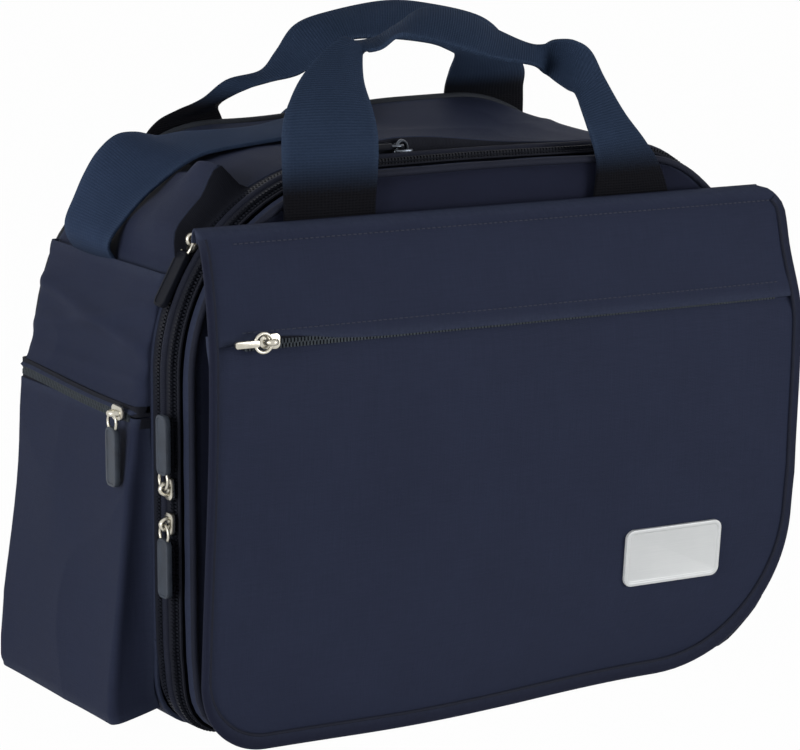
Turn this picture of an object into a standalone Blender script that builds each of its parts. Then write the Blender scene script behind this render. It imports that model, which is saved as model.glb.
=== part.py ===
"""A changing bag: zipped main and front compartments, flap, side pockets, handles and shoulder strap.

Metres, +Z up. The front faces -Y and the origin is on the flat base that the bag stands on.
"""
import math

import bmesh
import bpy
from mathutils import Matrix, Vector

MM = 0.001
GAP = 0.3 * MM

# Body outline
HALF_WIDTH = 190 * MM
FRONT_TOP = 303 * MM
BACK_TOP = 315 * MM
SHOULDER_RADIUS = 108 * MM
BACK_RISE = 140 * MM
TOP_SAG = 4.5 * MM
CORNER_RADIUS = 30 * MM
FRONT_INSET = 5 * MM
RAISED_BOTTOM = 4 * MM
SHOULDER_STEPS = 8
CORNER_STEPS = 5
SEAM_ANGLE = 28.0
SEAM_GAP_ANGLE = 0.3

# Depth of each layer, front to back
FRONT_PANEL_Y = -75 * MM
BAND_FRONT_Y = -73 * MM
BAND_REAR_Y = -66.5 * MM
FRONT_ZIP_Y = -60.9 * MM
MID_PIPING_Y = -53.3 * MM
MAIN_ZIP_Y = -45.7 * MM
SHELL_FRONT_Y = -40 * MM
SHELL_REAR_Y = 113 * MM
BACK_PANEL_Y = 115.3 * MM

# Fabric walls, tapes and piping
WALL = 3 * MM
BACK_THICKNESS = 4 * MM
TAPE_WIDTH = 5 * MM
TAPE_THICKNESS = 1.2 * MM
TAPE_HALF_GAP = 0.3 * MM
BAND_THICKNESS = 2.5 * MM
BACK_PIPING_RADIUS = 2.2 * MM
MID_PIPING_RADIUS = 2.0 * MM
FRONT_PIPING_RADIUS = 1.8 * MM

# Flap
FLAP_HALF_WIDTH = 187 * MM
FLAP_TOP = 276 * MM
FLAP_BOTTOM = 3 * MM
FLAP_CORNER = 66 * MM
FLAP_THICKNESS = 4 * MM
FLAP_EDGE_Y = -84 * MM
FLAP_BOW = 16 * MM
FLAP_BOW_RISE = 0.55
BINDING_RADIUS = 1.6 * MM
FLAP_ZIP_Z = 219 * MM
FLAP_ZIP_HALF_LENGTH = 168 * MM
FLAP_ZIP_HEIGHT = 8 * MM
PLATE_SIZE = (62 * MM, 32 * MM)
PLATE_THICKNESS = 2 * MM
PLATE_CORNER = 4 * MM
PLATE_CENTRE = (105 * MM, 74 * MM)
CLOSURE_SIZE = (90 * MM, 22 * MM)
CLOSURE_Z = 40 * MM
CLOSURE_THICKNESS = 1.6 * MM

# Side pockets, given for the left side
POCKET_FRONT_Y = -38 * MM
POCKET_REAR_Y = 110 * MM
POCKET_BASE_X = 214 * MM
POCKET_MOUTH_X = 201.5 * MM
POCKET_HINGE_X = 190.7 * MM
POCKET_HINGE_Z = 3 * MM
POCKET_BASE_Z = 5 * MM
POCKET_ZIP_Z = 173 * MM
POCKET_WALL = 2 * MM
FACING_TOP_X = 183.5 * MM
FACING_TOP_Z = 242 * MM
FACING_THICKNESS = 2.4 * MM

# Handles and strap
WEBBING_WIDTH = 54 * MM
WEBBING_THICKNESS = 2.6 * MM
FRONT_HANDLE_ENDS = (-105 * MM, 87 * MM)
BACK_HANDLE_ENDS = (-90 * MM, 111 * MM)
HANDLE_TAB_LENGTH = 46 * MM
HANDLE_TAB_THICKNESS = 2.6 * MM
HANDLE_TURN_ROOM = 2 * MM
FRONT_HANDLE_Y = -78.4 * MM
FRONT_HANDLE_Z = 282 * MM
BACK_HANDLE_Y = 120 * MM
BACK_HANDLE_Z = 300 * MM
STRAP_WIDTH = 50 * MM
STRAP_THICKNESS = 2.2 * MM
STRAP_HANG_X = 0 * MM
STRAP_HANG_Y = 134 * MM
ADJUSTER_Z = 205 * MM

# Zip sliders and pulls
SLIDER_LENGTH = 12 * MM
SLIDER_WIDTH = 9 * MM
SLIDER_HEIGHT = 2.4 * MM
BRIDGE_WIDTH = 2.2 * MM
BRIDGE_HALF_LENGTH = 3.4 * MM
PIVOT_HEIGHT = 4.6 * MM
EYE_RADIUS = 1.7 * MM
LINK_RADIUS = 5 * MM
LINK_WIRE_RADIUS = 0.8 * MM
TAB_SIZE = (32 * MM, 12 * MM, 3.2 * MM)
BAR_SIZE = (17 * MM, 4.4 * MM, 2.4 * MM)
MAIN_PULL_DROOP = 10

# Base board
BOARD_SIZE = (280 * MM, 136 * MM, 2.2 * MM)

COLOURS = {
    "navy_cloth": ((0.026, 0.031, 0.055), 0.85, 0.0),
    "navy_webbing": ((0.022, 0.040, 0.075), 0.9, 0.0),
    "dark_trim": ((0.010, 0.010, 0.018), 0.7, 0.0),
    "zip_tape": ((0.016, 0.017, 0.026), 0.8, 0.0),
    "grey_rubber": ((0.045, 0.058, 0.078), 0.6, 0.0),
    "bright_metal": ((0.62, 0.60, 0.54), 0.25, 1.0),
    "silver_plate": ((0.60, 0.62, 0.64), 0.4, 0.3),
    "dark_plastic": ((0.02, 0.02, 0.024), 0.5, 0.0),
}


def clear_scene():
    for obj in list(bpy.data.objects):
        bpy.data.objects.remove(obj)


def make_collection(name):
    group = bpy.data.collections.new(name)
    bpy.context.scene.collection.children.link(group)
    return group


def make_materials():
    made = {}
    for name, (colour, roughness, metallic) in COLOURS.items():
        material = bpy.data.materials.new(name)
        material.use_nodes = True
        shader = material.node_tree.nodes["Principled BSDF"]
        shader.inputs["Base Color"].default_value = (*colour, 1.0)
        shader.inputs["Roughness"].default_value = roughness
        shader.inputs["Metallic"].default_value = metallic
        made[name] = material
    return made


clear_scene()
BAG = make_collection("changing_bag")
CUTTERS = make_collection("cutters")
MATERIALS = make_materials()


# Helpers for placing and shaping


def add_object(name, data, finish, origin=(0, 0, 0), parent=None):
    """Link data, given in world places, as an object whose own origin is at the joint or at zero."""
    data.transform(Matrix.Translation(-Vector(origin)))
    obj = bpy.data.objects.new(name, data)
    obj.location = origin
    BAG.objects.link(obj)
    data.materials.append(MATERIALS[finish])
    if parent:
        obj.parent = parent
    return obj


def empty(name, location, rotation=None, parent=None):
    obj = bpy.data.objects.new(name, None)
    obj.empty_display_size = 5 * MM
    obj.location = location
    if rotation:
        obj.rotation_euler = rotation.to_euler()
    obj.parent = parent
    BAG.objects.link(obj)
    return obj


def solidify(obj, thickness):
    shell = obj.modifiers.new("thickness", "SOLIDIFY")
    shell.thickness = thickness
    shell.offset = 0.0
    shell.use_even_offset = True


def round_edges(obj, width, segments=2):
    edge = obj.modifiers.new("edge", "BEVEL")
    edge.width = width
    edge.segments = segments
    edge.limit_method = "ANGLE"


def shade_round(obj, angle=40):
    obj.data.shade_smooth()
    obj.data.set_sharp_from_angle(angle=math.radians(angle))


def arc(centre, radius, start, end, steps):
    """Points on an arc in a plane, from start to end in degrees."""
    points = []
    for i in range(steps + 1):
        turn = math.radians(start + (end - start) * i / steps)
        points.append((centre[0] + radius * math.cos(turn), centre[1] + radius * math.sin(turn)))
    return points


def rounded_box_outline(width, height, radius, steps=4):
    x = width / 2 - radius
    y = height / 2 - radius
    points = []
    for corner, (sx, sy) in enumerate(((1, 1), (-1, 1), (-1, -1), (1, -1))):
        points += arc((sx * x, sy * y), radius, 90 * corner, 90 * corner + 90, steps)
    return points


def shoulder_place(angle, inset, top, rise):
    """X and Z on the right shoulder, a quarter ellipse: angle 0 is upright, 90 is on top."""
    turn = math.radians(angle)
    x = HALF_WIDTH - SHOULDER_RADIUS + (SHOULDER_RADIUS - inset) * math.cos(turn)
    z = top - rise + (rise - inset) * math.sin(turn)
    return x, z


def bag_outline(inset=0.0, bottom=RAISED_BOTTOM, top=FRONT_TOP, rise=SHOULDER_RADIUS):
    """Closed outline in X and Z: round bottom corners, straight sides, wide round shoulders."""
    half = HALF_WIDTH - inset
    low = CORNER_RADIUS - inset
    right = arc((half - low, bottom + inset + low), low, -90, 0, CORNER_STEPS)
    right += [shoulder_place(90 * i / SHOULDER_STEPS, inset, top, rise) for i in range(SHOULDER_STEPS + 1)]
    left = [(-x, z) for x, z in reversed(right)]
    return right + left


def poly_curve(name, loops, dimensions):
    curve = bpy.data.curves.new(name, "CURVE")
    curve.dimensions = dimensions
    for points, cyclic in loops:
        spline = curve.splines.new("POLY")
        spline.points.add(len(points) - 1)
        for slot, point in zip(spline.points, points):
            slot.co = (*point, 0.0, 1.0) if len(point) == 2 else (*point, 1.0)
        spline.use_cyclic_u = cyclic
    return curve


def flat_panel(name, outline, y, thickness, finish, hinge=None):
    """A flat wall cut to an outline in X and Z, standing at depth y; a moving one hangs on an empty."""
    curve = poly_curve(name, [(outline, True)], "2D")
    curve.fill_mode = "BOTH"
    curve.extrude = thickness / 2
    obj = add_object(name, curve, finish)
    obj.rotation_euler = (math.radians(90), 0, 0)
    obj.location = (0, y, 0)
    if hinge:
        obj.parent = empty(name + "_hinge", hinge)
        obj.location = Vector((0, y, 0)) - Vector(hinge)


def sheet_mesh(name, rows, closed=False):
    """An open surface through rows of points that all have the same count."""
    mesh = bpy.data.meshes.new(name)
    work = bmesh.new()
    grid = [[work.verts.new(point) for point in row] for row in rows]
    count = len(rows[0])
    for near, far in zip(grid, grid[1:]):
        for i in range(count if closed else count - 1):
            j = (i + 1) % count
            work.faces.new((near[i], near[j], far[j], far[i]))
    bmesh.ops.recalc_face_normals(work, faces=work.faces)
    work.to_mesh(mesh)
    work.free()
    return mesh


def wall(name, rows, thickness, finish, closed=False, origin=(0, 0, 0)):
    obj = add_object(name, sheet_mesh(name, rows, closed), finish, origin)
    solidify(obj, thickness)
    shade_round(obj)
    return obj


def ring_wall(name, outline, front_y, rear_y, thickness, finish, origin=(0, 0, 0)):
    """A strip that runs right round an outline, from one depth to another."""
    rows = [[Vector((x, y, z)) for x, z in outline] for y in (front_y, rear_y)]
    return wall(name, rows, thickness, finish, closed=True, origin=origin)


def tube(name, points, radius, finish, cyclic, origin=(0, 0, 0)):
    curve = poly_curve(name, [(points, cyclic)], "3D")
    curve.bevel_depth = radius
    curve.bevel_resolution = 1
    curve.use_fill_caps = not cyclic
    return add_object(name, curve, finish, origin)


def smooth_path(points, steps):
    """Points on a smooth curve through the given ones (Catmull-Rom)."""
    ends = [2 * points[0] - points[1], *points, 2 * points[-1] - points[-2]]
    path = []
    for a, b, c, d in zip(ends, ends[1:], ends[2:], ends[3:]):
        for i in range(steps):
            t = i / steps
            path.append(0.5 * (2 * b + (c - a) * t + (2 * a - 5 * b + 4 * c - d) * t**2
                               + (3 * b - a - 3 * c + d) * t**3))
    path.append(points[-1])
    return path


def ribbon(name, stations, thickness, steps, finish, origin):
    """Webbing through stations of (one edge, other edge) in millimetres."""
    firsts = smooth_path([Vector(first) * MM for first, _ in stations], steps)
    seconds = smooth_path([Vector(second) * MM for _, second in stations], steps)
    return wall(name, list(zip(firsts, seconds)), thickness, finish, origin=origin)


def spread(centre, across, width):
    """Both edges of flat webbing in millimetres, from its middle and the way to its first edge."""
    reach = Vector(across).normalized() * (width / MM / 2)
    return Vector(centre) + reach, Vector(centre) - reach


def box_mesh(size, centre):
    """A plain box mesh at its real size."""
    bpy.ops.mesh.primitive_cube_add(size=1, location=(0, 0, 0))
    obj = bpy.context.object
    mesh = obj.data
    bpy.data.objects.remove(obj)
    mesh.transform(Matrix.Diagonal((*size, 1.0)))
    mesh.transform(Matrix.Translation(Vector(centre)))
    return mesh


def block(name, size, centre, finish, origin=None, edge=0.0):
    """A box at its real size with an optional rounded edge."""
    obj = add_object(name, box_mesh(size, centre), finish, origin or centre)
    if edge:
        round_edges(obj, edge)
    return obj


def mesh_of(curve_object):
    """The closed mesh of a curve object, with its caps welded; the curve goes."""
    view = bpy.context.evaluated_depsgraph_get()
    view.update()
    mesh = bpy.data.meshes.new_from_object(curve_object.evaluated_get(view))
    work = bmesh.new()
    work.from_mesh(mesh)
    bmesh.ops.remove_doubles(work, verts=work.verts, dist=0.001 * MM)
    bmesh.ops.recalc_face_normals(work, faces=work.faces)
    work.to_mesh(mesh)
    work.free()
    mesh.transform(curve_object.matrix_world)
    bpy.data.objects.remove(curve_object)
    return mesh


def extruded_mesh(name, loops, thickness, turn):
    """A flat outline with holes, given thickness and turned into place."""
    curve = poly_curve(name, [(loop, True) for loop in loops], "2D")
    curve.fill_mode = "BOTH"
    curve.extrude = thickness / 2
    obj = bpy.data.objects.new(name, curve)
    BAG.objects.link(obj)
    bpy.context.view_layer.update()
    mesh = mesh_of(obj)
    mesh.transform(turn)
    return mesh


def boolean(target, other_mesh, operation):
    """Join a second mesh to an object, or cut it out."""
    tool = bpy.data.objects.new(target.name + "_tool", other_mesh)
    tool.hide_render = True
    tool.display_type = "WIRE"
    CUTTERS.objects.link(tool)
    tool.parent = target.parent
    tool.location = target.location
    cut = target.modifiers.new("joined", "BOOLEAN")
    cut.operation = operation
    cut.object = tool
    cut.solver = "EXACT"


# Body shell


def shell_point(side, angle, top, rise, y):
    """A place on the shoulder of the shell's middle surface."""
    x, z = shoulder_place(angle, WALL / 2, top, rise)
    return Vector((side * x, y, z))


def shell_rows(profile):
    """The same profile at the shell's front, middle and rear; the top sags in the middle."""
    middle_y = (SHELL_FRONT_Y + SHELL_REAR_Y) / 2
    middle_top = (FRONT_TOP + BACK_TOP) / 2 - TOP_SAG
    middle_rise = (SHOULDER_RADIUS + BACK_RISE) / 2
    rows = [
        profile(SHELL_FRONT_Y, FRONT_TOP, SHOULDER_RADIUS),
        profile(middle_y, middle_top, middle_rise),
        profile(SHELL_REAR_Y, BACK_TOP, BACK_RISE),
    ]
    return rows


def side_profile(side):
    def profile(y, top, rise):
        low = Vector((side * (HALF_WIDTH - WALL / 2), y, CORNER_RADIUS + 5 * MM + GAP))
        steps = 3
        angles = [SEAM_ANGLE * i / steps for i in range(steps + 1)]
        return [low] + [shell_point(side, angle, top, rise, y) for angle in angles]

    return profile


def top_profile(y, top, rise):
    start = SEAM_ANGLE + SEAM_GAP_ANGLE
    angles = [start + (90 - start) * i / SHOULDER_STEPS for i in range(SHOULDER_STEPS + 1)]
    left = [shell_point(-1, angle, top, rise, y) for angle in angles]
    right = [shell_point(1, angle, top, rise, y) for angle in reversed(angles)]
    return left + right


def bottom_profile(y, _top, _rise):
    radius = CORNER_RADIUS - WALL / 2
    half = HALF_WIDTH - WALL / 2
    right = arc((HALF_WIDTH - CORNER_RADIUS, CORNER_RADIUS), radius, -90, 0, CORNER_STEPS)
    right.append((half, CORNER_RADIUS + 5 * MM))
    points = [(-x, z) for x, z in reversed(right)] + right
    return [Vector((x, y, z)) for x, z in points]


def build_shell():
    wall("left_side_panel", shell_rows(side_profile(-1)), WALL, "navy_cloth")
    wall("right_side_panel", shell_rows(side_profile(1)), WALL, "navy_cloth")
    wall("top_gusset", shell_rows(top_profile), WALL, "navy_cloth")
    wall("bottom_panel", shell_rows(bottom_profile), WALL, "navy_cloth")
    piping_centre = BACK_PIPING_RADIUS
    panel_inset = 2 * BACK_PIPING_RADIUS + GAP
    panel_outline = bag_outline(panel_inset, 0.0, BACK_TOP, BACK_RISE)
    flat_panel("back_panel", panel_outline, BACK_PANEL_Y, BACK_THICKNESS, "navy_cloth")
    piping_outline = bag_outline(piping_centre, 0.0, BACK_TOP, BACK_RISE)
    ring = [Vector((x, BACK_PANEL_Y + 0.2 * MM, z)) for x, z in piping_outline]
    tube("back_piping", ring, BACK_PIPING_RADIUS, "dark_trim", True)
    centre_y = (SHELL_FRONT_Y + SHELL_REAR_Y) / 2
    centre_z = WALL + GAP + BOARD_SIZE[2] / 2
    block("base_board", BOARD_SIZE, (0, centre_y, centre_z), "dark_plastic", edge=0.5 * MM)


def zip_tape(name, zip_y, towards, outline, origin=(0, 0, 0)):
    """One half of a zip that runs round the bag: towards is -1 for the front half, 1 for the rear."""
    near = zip_y + towards * TAPE_HALF_GAP
    far = near + towards * TAPE_WIDTH
    ring_wall(name, outline, min(near, far), max(near, far), TAPE_THICKNESS, "zip_tape", origin)


def build_middle():
    """The divider wall with its piping and the zip halves on both sides of it."""
    hinge = (0, MAIN_ZIP_Y, RAISED_BOTTOM)
    tape_line = bag_outline(TAPE_THICKNESS / 2)
    zip_tape("main_zip_rear_tape", MAIN_ZIP_Y, 1, tape_line)
    zip_tape("main_zip_front_tape", MAIN_ZIP_Y, -1, tape_line, hinge)
    zip_tape("front_zip_rear_tape", FRONT_ZIP_Y, 1, tape_line, hinge)
    piping_line = bag_outline(MID_PIPING_RADIUS - 1 * MM)
    ring = [Vector((x, MID_PIPING_Y, z)) for x, z in piping_line]
    tube("mid_piping", ring, MID_PIPING_RADIUS, "navy_cloth", True, hinge)
    panel_line = bag_outline(2 * MID_PIPING_RADIUS - 1 * MM + GAP)
    panel_y = MID_PIPING_Y + 0.1 * MM
    flat_panel("divider_panel", panel_line, panel_y, 2.4 * MM, "navy_cloth", hinge)


def build_front():
    """The front wall with its band and piping, and its half of the front zip."""
    hinge = (0, FRONT_ZIP_Y, RAISED_BOTTOM)
    zip_tape("front_zip_front_tape", FRONT_ZIP_Y, -1, bag_outline(FRONT_INSET / 2), hinge)
    band_line = bag_outline(FRONT_INSET + BAND_THICKNESS / 2 - 1 * MM)
    ring_wall("front_band", band_line, BAND_FRONT_Y, BAND_REAR_Y, BAND_THICKNESS, "navy_cloth", hinge)
    piping_line = bag_outline(FRONT_INSET + FRONT_PIPING_RADIUS - 1 * MM)
    ring = [Vector((x, FRONT_PANEL_Y, z)) for x, z in piping_line]
    tube("front_piping", ring, FRONT_PIPING_RADIUS, "dark_trim", True, hinge)
    panel_line = bag_outline(FRONT_INSET + 2 * FRONT_PIPING_RADIUS - 1 * MM + GAP)
    flat_panel("front_panel", panel_line, FRONT_PANEL_Y, WALL, "navy_cloth", hinge)
    patch_y = FRONT_PANEL_Y - WALL / 2 - GAP - CLOSURE_THICKNESS / 2
    size = (CLOSURE_SIZE[0], CLOSURE_THICKNESS, CLOSURE_SIZE[1])
    block("front_loop_patch", size, (0, patch_y, CLOSURE_Z), "dark_trim", hinge)


# Flap


def flap_y(z):
    """Depth of the flap's middle surface: it bows forward, most of all in its upper third at the zip."""
    down = min(max((FLAP_TOP - z) / (FLAP_TOP - FLAP_BOTTOM), 0.0), 1.0)
    return FLAP_EDGE_Y - FLAP_BOW * math.sin(math.pi * down**FLAP_BOW_RISE)


def flap_slope(z):
    """Lean of the flap's surface at height z, as dy over dz."""
    step = 1 * MM
    return (flap_y(z + step) - flap_y(z - step)) / (2 * step)


def flap_face_y(z):
    return flap_y(z) - FLAP_THICKNESS / 2


def flap_edge(grow):
    """Right edge of the flap from its bottom middle line up, as points in X and Z."""
    corner_z = FLAP_BOTTOM + FLAP_CORNER
    corner_x = FLAP_HALF_WIDTH - FLAP_CORNER
    edge = arc((corner_x, corner_z), FLAP_CORNER + grow, -90, 0, 8)
    straight = 12
    edge += [(FLAP_HALF_WIDTH + grow, corner_z + (FLAP_TOP - corner_z) * i / straight)
             for i in range(1, straight + 1)]
    return edge


def build_flap():
    hinge = (0, FLAP_EDGE_Y, FLAP_TOP)
    rows = []
    for x, z in flap_edge(0.0):
        rows.append([Vector((side * x, flap_y(z), z)) for side in (-1, 1)])
    wall("flap_panel", rows, FLAP_THICKNESS, "navy_cloth", origin=hinge)
    edge = flap_edge(BINDING_RADIUS + GAP)
    right = [Vector((x, flap_y(z), z)) for x, z in edge]
    left = [Vector((-p.x, p.y, p.z)) for p in reversed(right)]
    tube("flap_binding", left + right, BINDING_RADIUS, "dark_trim", False, hinge)

    strip_heights = (FLAP_ZIP_Z - FLAP_ZIP_HEIGHT / 2, FLAP_ZIP_Z + FLAP_ZIP_HEIGHT / 2)
    lift = TAPE_THICKNESS / 2 + GAP
    strip = []
    for z in strip_heights:
        y = flap_face_y(z) - lift
        strip.append([Vector((side * FLAP_ZIP_HALF_LENGTH, y, z)) for side in (-1, 1)])
    wall("flap_zip_tape", strip, TAPE_THICKNESS, "zip_tape", origin=hinge)

    x, z = PLATE_CENTRE
    outline = rounded_box_outline(*PLATE_SIZE, PLATE_CORNER)
    lean = math.atan(flap_slope(z))
    turn = Matrix.Rotation(math.radians(90) - lean, 4, "X")
    mesh = extruded_mesh("label_plate", [outline], PLATE_THICKNESS, turn)
    stand_off = PLATE_THICKNESS / 2 + 2 * GAP
    mesh.transform(Matrix.Translation((x, flap_face_y(z) - stand_off, z)))
    add_object("label_plate", mesh, "silver_plate", hinge)

    lowest = CLOSURE_Z - CLOSURE_SIZE[1] / 2
    patch_y = flap_y(lowest) + FLAP_THICKNESS / 2 + CLOSURE_THICKNESS / 2 + 3 * GAP
    size = (CLOSURE_SIZE[0], CLOSURE_THICKNESS, CLOSURE_SIZE[1])
    block("flap_hook_patch", size, (0, patch_y, CLOSURE_Z), "dark_trim", hinge)


# Side pockets


def pocket_wall_x(z):
    """Outward place of the pocket's sloping outer wall at height z."""
    share = (z - POCKET_BASE_Z) / (POCKET_ZIP_Z - POCKET_BASE_Z)
    return POCKET_BASE_X + (POCKET_MOUTH_X - POCKET_BASE_X) * share


def facing_x(z):
    share = (z - POCKET_ZIP_Z) / (FACING_TOP_Z - POCKET_ZIP_Z)
    return POCKET_MOUTH_X + (FACING_TOP_X - POCKET_MOUTH_X) * share


def pocket_strip(name, side, low_z, high_z, place_x, inset, thickness, finish, origin=(0, 0, 0)):
    """A flat strip of the pocket's face between two heights."""
    rows = []
    for z in (low_z, high_z):
        x = side * place_x(z)
        rows.append([Vector((x, y, z)) for y in (POCKET_FRONT_Y + inset, POCKET_REAR_Y - inset)])
    wall(name, rows, thickness, finish, origin=origin)


def build_pocket(word, side):
    hinge = (side * POCKET_HINGE_X, (POCKET_FRONT_Y + POCKET_REAR_Y) / 2, POCKET_HINGE_Z)
    half_wall = POCKET_WALL / 2
    upper_edge = POCKET_ZIP_Z - TAPE_HALF_GAP - TAPE_WIDTH
    inner_x = POCKET_HINGE_X + GAP
    low_z = POCKET_BASE_Z + half_wall
    front = POCKET_FRONT_Y + half_wall
    rear = POCKET_REAR_Y - half_wall
    work = bmesh.new()

    def corner(x, y, z):
        return work.verts.new((side * x, y, z))

    low_in = [corner(inner_x, y, low_z) for y in (front, rear)]
    low_out = [corner(pocket_wall_x(low_z) - half_wall, y, low_z) for y in (front, rear)]
    high_in = [corner(inner_x, y, upper_edge) for y in (front, rear)]
    high_out = [corner(pocket_wall_x(upper_edge) - half_wall, y, upper_edge) for y in (front, rear)]
    work.faces.new((low_in[0], low_out[0], low_out[1], low_in[1]))
    work.faces.new((low_out[0], high_out[0], high_out[1], low_out[1]))
    for end in (0, 1):
        work.faces.new((low_in[end], low_out[end], high_out[end], high_in[end]))
    bmesh.ops.recalc_face_normals(work, faces=work.faces)
    mesh = bpy.data.meshes.new(word + "_pocket")
    work.to_mesh(mesh)
    work.free()
    pocket = add_object(word + "_pocket", mesh, "navy_cloth", hinge)
    solidify(pocket, POCKET_WALL)

    tape_low = upper_edge + half_wall + GAP
    inset = 3 * MM
    pocket_strip(word + "_pocket_lower_tape", side, tape_low, POCKET_ZIP_Z - TAPE_HALF_GAP, pocket_wall_x, inset,
                 TAPE_THICKNESS, "zip_tape", hinge)
    tape_high = POCKET_ZIP_Z + TAPE_HALF_GAP + TAPE_WIDTH
    pocket_strip(word + "_pocket_upper_tape", side, POCKET_ZIP_Z + TAPE_HALF_GAP, tape_high, facing_x, inset,
                 TAPE_THICKNESS, "zip_tape")
    facing_low = tape_high + 2 * GAP
    pocket_strip(word + "_pocket_facing", side, facing_low, FACING_TOP_Z, facing_x, 0.0, FACING_THICKNESS,
                 "navy_cloth")


# Handles and shoulder strap


def leg(x, y, z):
    """Both edges of a handle's leg at its sewn end, the left edge first."""
    half = WEBBING_WIDTH / 2
    return ((x - half) / MM, y / MM, z / MM), ((x + half) / MM, y / MM, z / MM)


def handle_tabs(word, y, top_z, ends):
    for side_word, x in zip(("left", "right"), ends):
        size = (WEBBING_WIDTH, HANDLE_TAB_THICKNESS, HANDLE_TAB_LENGTH)
        centre = (x, y, top_z - HANDLE_TURN_ROOM - HANDLE_TAB_LENGTH / 2)
        block(f"{word}_handle_{side_word}_tab", size, centre, "navy_webbing")


def build_handles():
    """Two webbing loops: flat legs that twist and fold into a narrow grip."""
    y = FRONT_HANDLE_Y
    z = FRONT_HANDLE_Z
    left, right = FRONT_HANDLE_ENDS
    front = [
        leg(left, y, z),
        ((-133, -82, 298), (-77, -82, 297)),
        ((-133, -80.5, 318), (-76, -79.5, 316)),
        ((-115, -64, 347), (-74, -60, 344)),
        ((-97, -54, 359), (-70, -51, 356)),
        ((-68, -40, 364), (-66, -52, 360)),
        ((-36, -31, 371), (-47, -54, 368)),
        ((-17, -28, 379), (-34, -55, 366)),
        ((7, -28, 376), (-12, -55, 360)),
        ((46, -39, 357), (38, -51, 348)),
        ((63, -54, 360), (65, -47, 333)),
        ((76, -64, 340), (59, -64, 329)),
        ((84, -72, 321), (59, -73, 317)),
        ((96, -81, 304), (61, -81, 301)),
        tuple(reversed(leg(right, y, z))),
    ]
    ribbon("front_handle", front, WEBBING_THICKNESS, 3, "navy_webbing", (0, y, z))
    handle_tabs("front", y - 0.2 * MM, z, FRONT_HANDLE_ENDS)
    y = BACK_HANDLE_Y
    z = BACK_HANDLE_Z
    left, right = BACK_HANDLE_ENDS
    back = [
        leg(left, y, z),
        ((-112, 121, 314), (-66, 121, 316)),
        ((-85, 114, 324), (-71, 104, 325)),
        ((-53, 97, 336), (-53, 83, 332)),
        ((-38, 82, 363), (-33, 60, 346)),
        ((-19, 76, 370), (-22, 52, 356)),
        ((16, 73, 375), (0, 46, 357)),
        ((46, 74, 372), (29, 46, 353)),
        ((83, 78, 363), (48, 56, 347)),
        ((105, 84, 348), (61, 70, 342)),
        ((125, 97, 331), (72, 95, 331)),
        ((138, 120, 314), (83, 120, 316)),
        tuple(reversed(leg(right, y, z))),
    ]
    ribbon("back_handle", back, WEBBING_THICKNESS, 3, "navy_webbing", (0, y, z))
    handle_tabs("back", y - 0.4 * MM, z, BACK_HANDLE_ENDS)


def build_strap():
    """One length of webbing: up from the left seam, over the top, down the back in a loop, to the right seam."""
    x = STRAP_HANG_X / MM
    y = STRAP_HANG_Y / MM
    over_the_top = [
        ((-182, 79, 245), (-182, 27, 244)),
        ((-185.5, 76, 263), (-182, 25, 259)),
        ((-174, 76, 287), (-168, 25, 274)),
        ((-166, 76, 298.5), (-160, 25, 282)),
        ((-155, 76, 307), (-150, 25, 289)),
        ((-143, 76, 309), (-140, 25, 295)),
        ((-129, 76, 308), (-127, 27, 301)),
        ((-113, 78, 311), (-113, 29, 305)),
        ((-88, 83, 314), (-96, 32, 308.5)),
        ((-63, 92, 317), (-76, 39, 310)),
        ((-46, 103, 319), (-40, 50, 312)),
        ((-33, 113, 320.5), (-4, 68, 315.5)),
        ((-27, 122, 319), (18, 98, 320)),
        ((-25, 131, 312), (24, 126, 318)),
    ]
    down_the_back = [
        ((x, y, 295), (-1, 0, 0)),
        ((x, y, 250), (-1, 0, 0)),
        ((x, y, 205), (-1, 0, 0)),
        ((x, y, 160), (-1, 0, 0)),
        ((x, y + 0.5, 138), (-1, 0.1, 0)),
        ((1, 138, 116), (-0.9, 0.45, 0)),
        ((7, 146, 94), (-0.6, 0.8, 0.1)),
        ((20, 152, 75), (-0.25, 1, 0.1)),
        ((39, 155, 62), (0, 1, 0)),
        ((63, 156, 56), (0, 1, 0)),
        ((87, 155, 62), (0, 1, 0)),
        ((106, 152, 76), (0.25, 1, 0.1)),
        ((119, 146, 98), (0.6, 0.8, 0.1)),
        ((126, 139, 124), (0.9, 0.45, 0)),
        ((130, 135.5, 152), (1, 0.1, 0)),
    ]
    to_the_right_seam = [
        ((155, 135.5, 180), (106, 135.5, 188)),
        ((157, 135.5, 198), (118, 135.5, 220)),
        ((161, 135.5, 215), (138, 135, 250)),
        ((166, 133, 230), (150, 131, 271)),
        ((173, 128, 243), (159, 120, 278)),
        ((179, 121, 251), (166, 97, 273)),
        ((183, 114, 254), (176, 74, 267)),
        ((184, 107, 251), (184, 58, 256)),
        ((183, 102, 246), (182.5, 51, 245)),
    ]
    lengthwise = [spread(centre, across, STRAP_WIDTH) for centre, across in down_the_back]
    stations = over_the_top + lengthwise + to_the_right_seam
    ribbon("shoulder_strap", stations, STRAP_THICKNESS, 2, "navy_webbing", (0, 0, 0))


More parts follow.
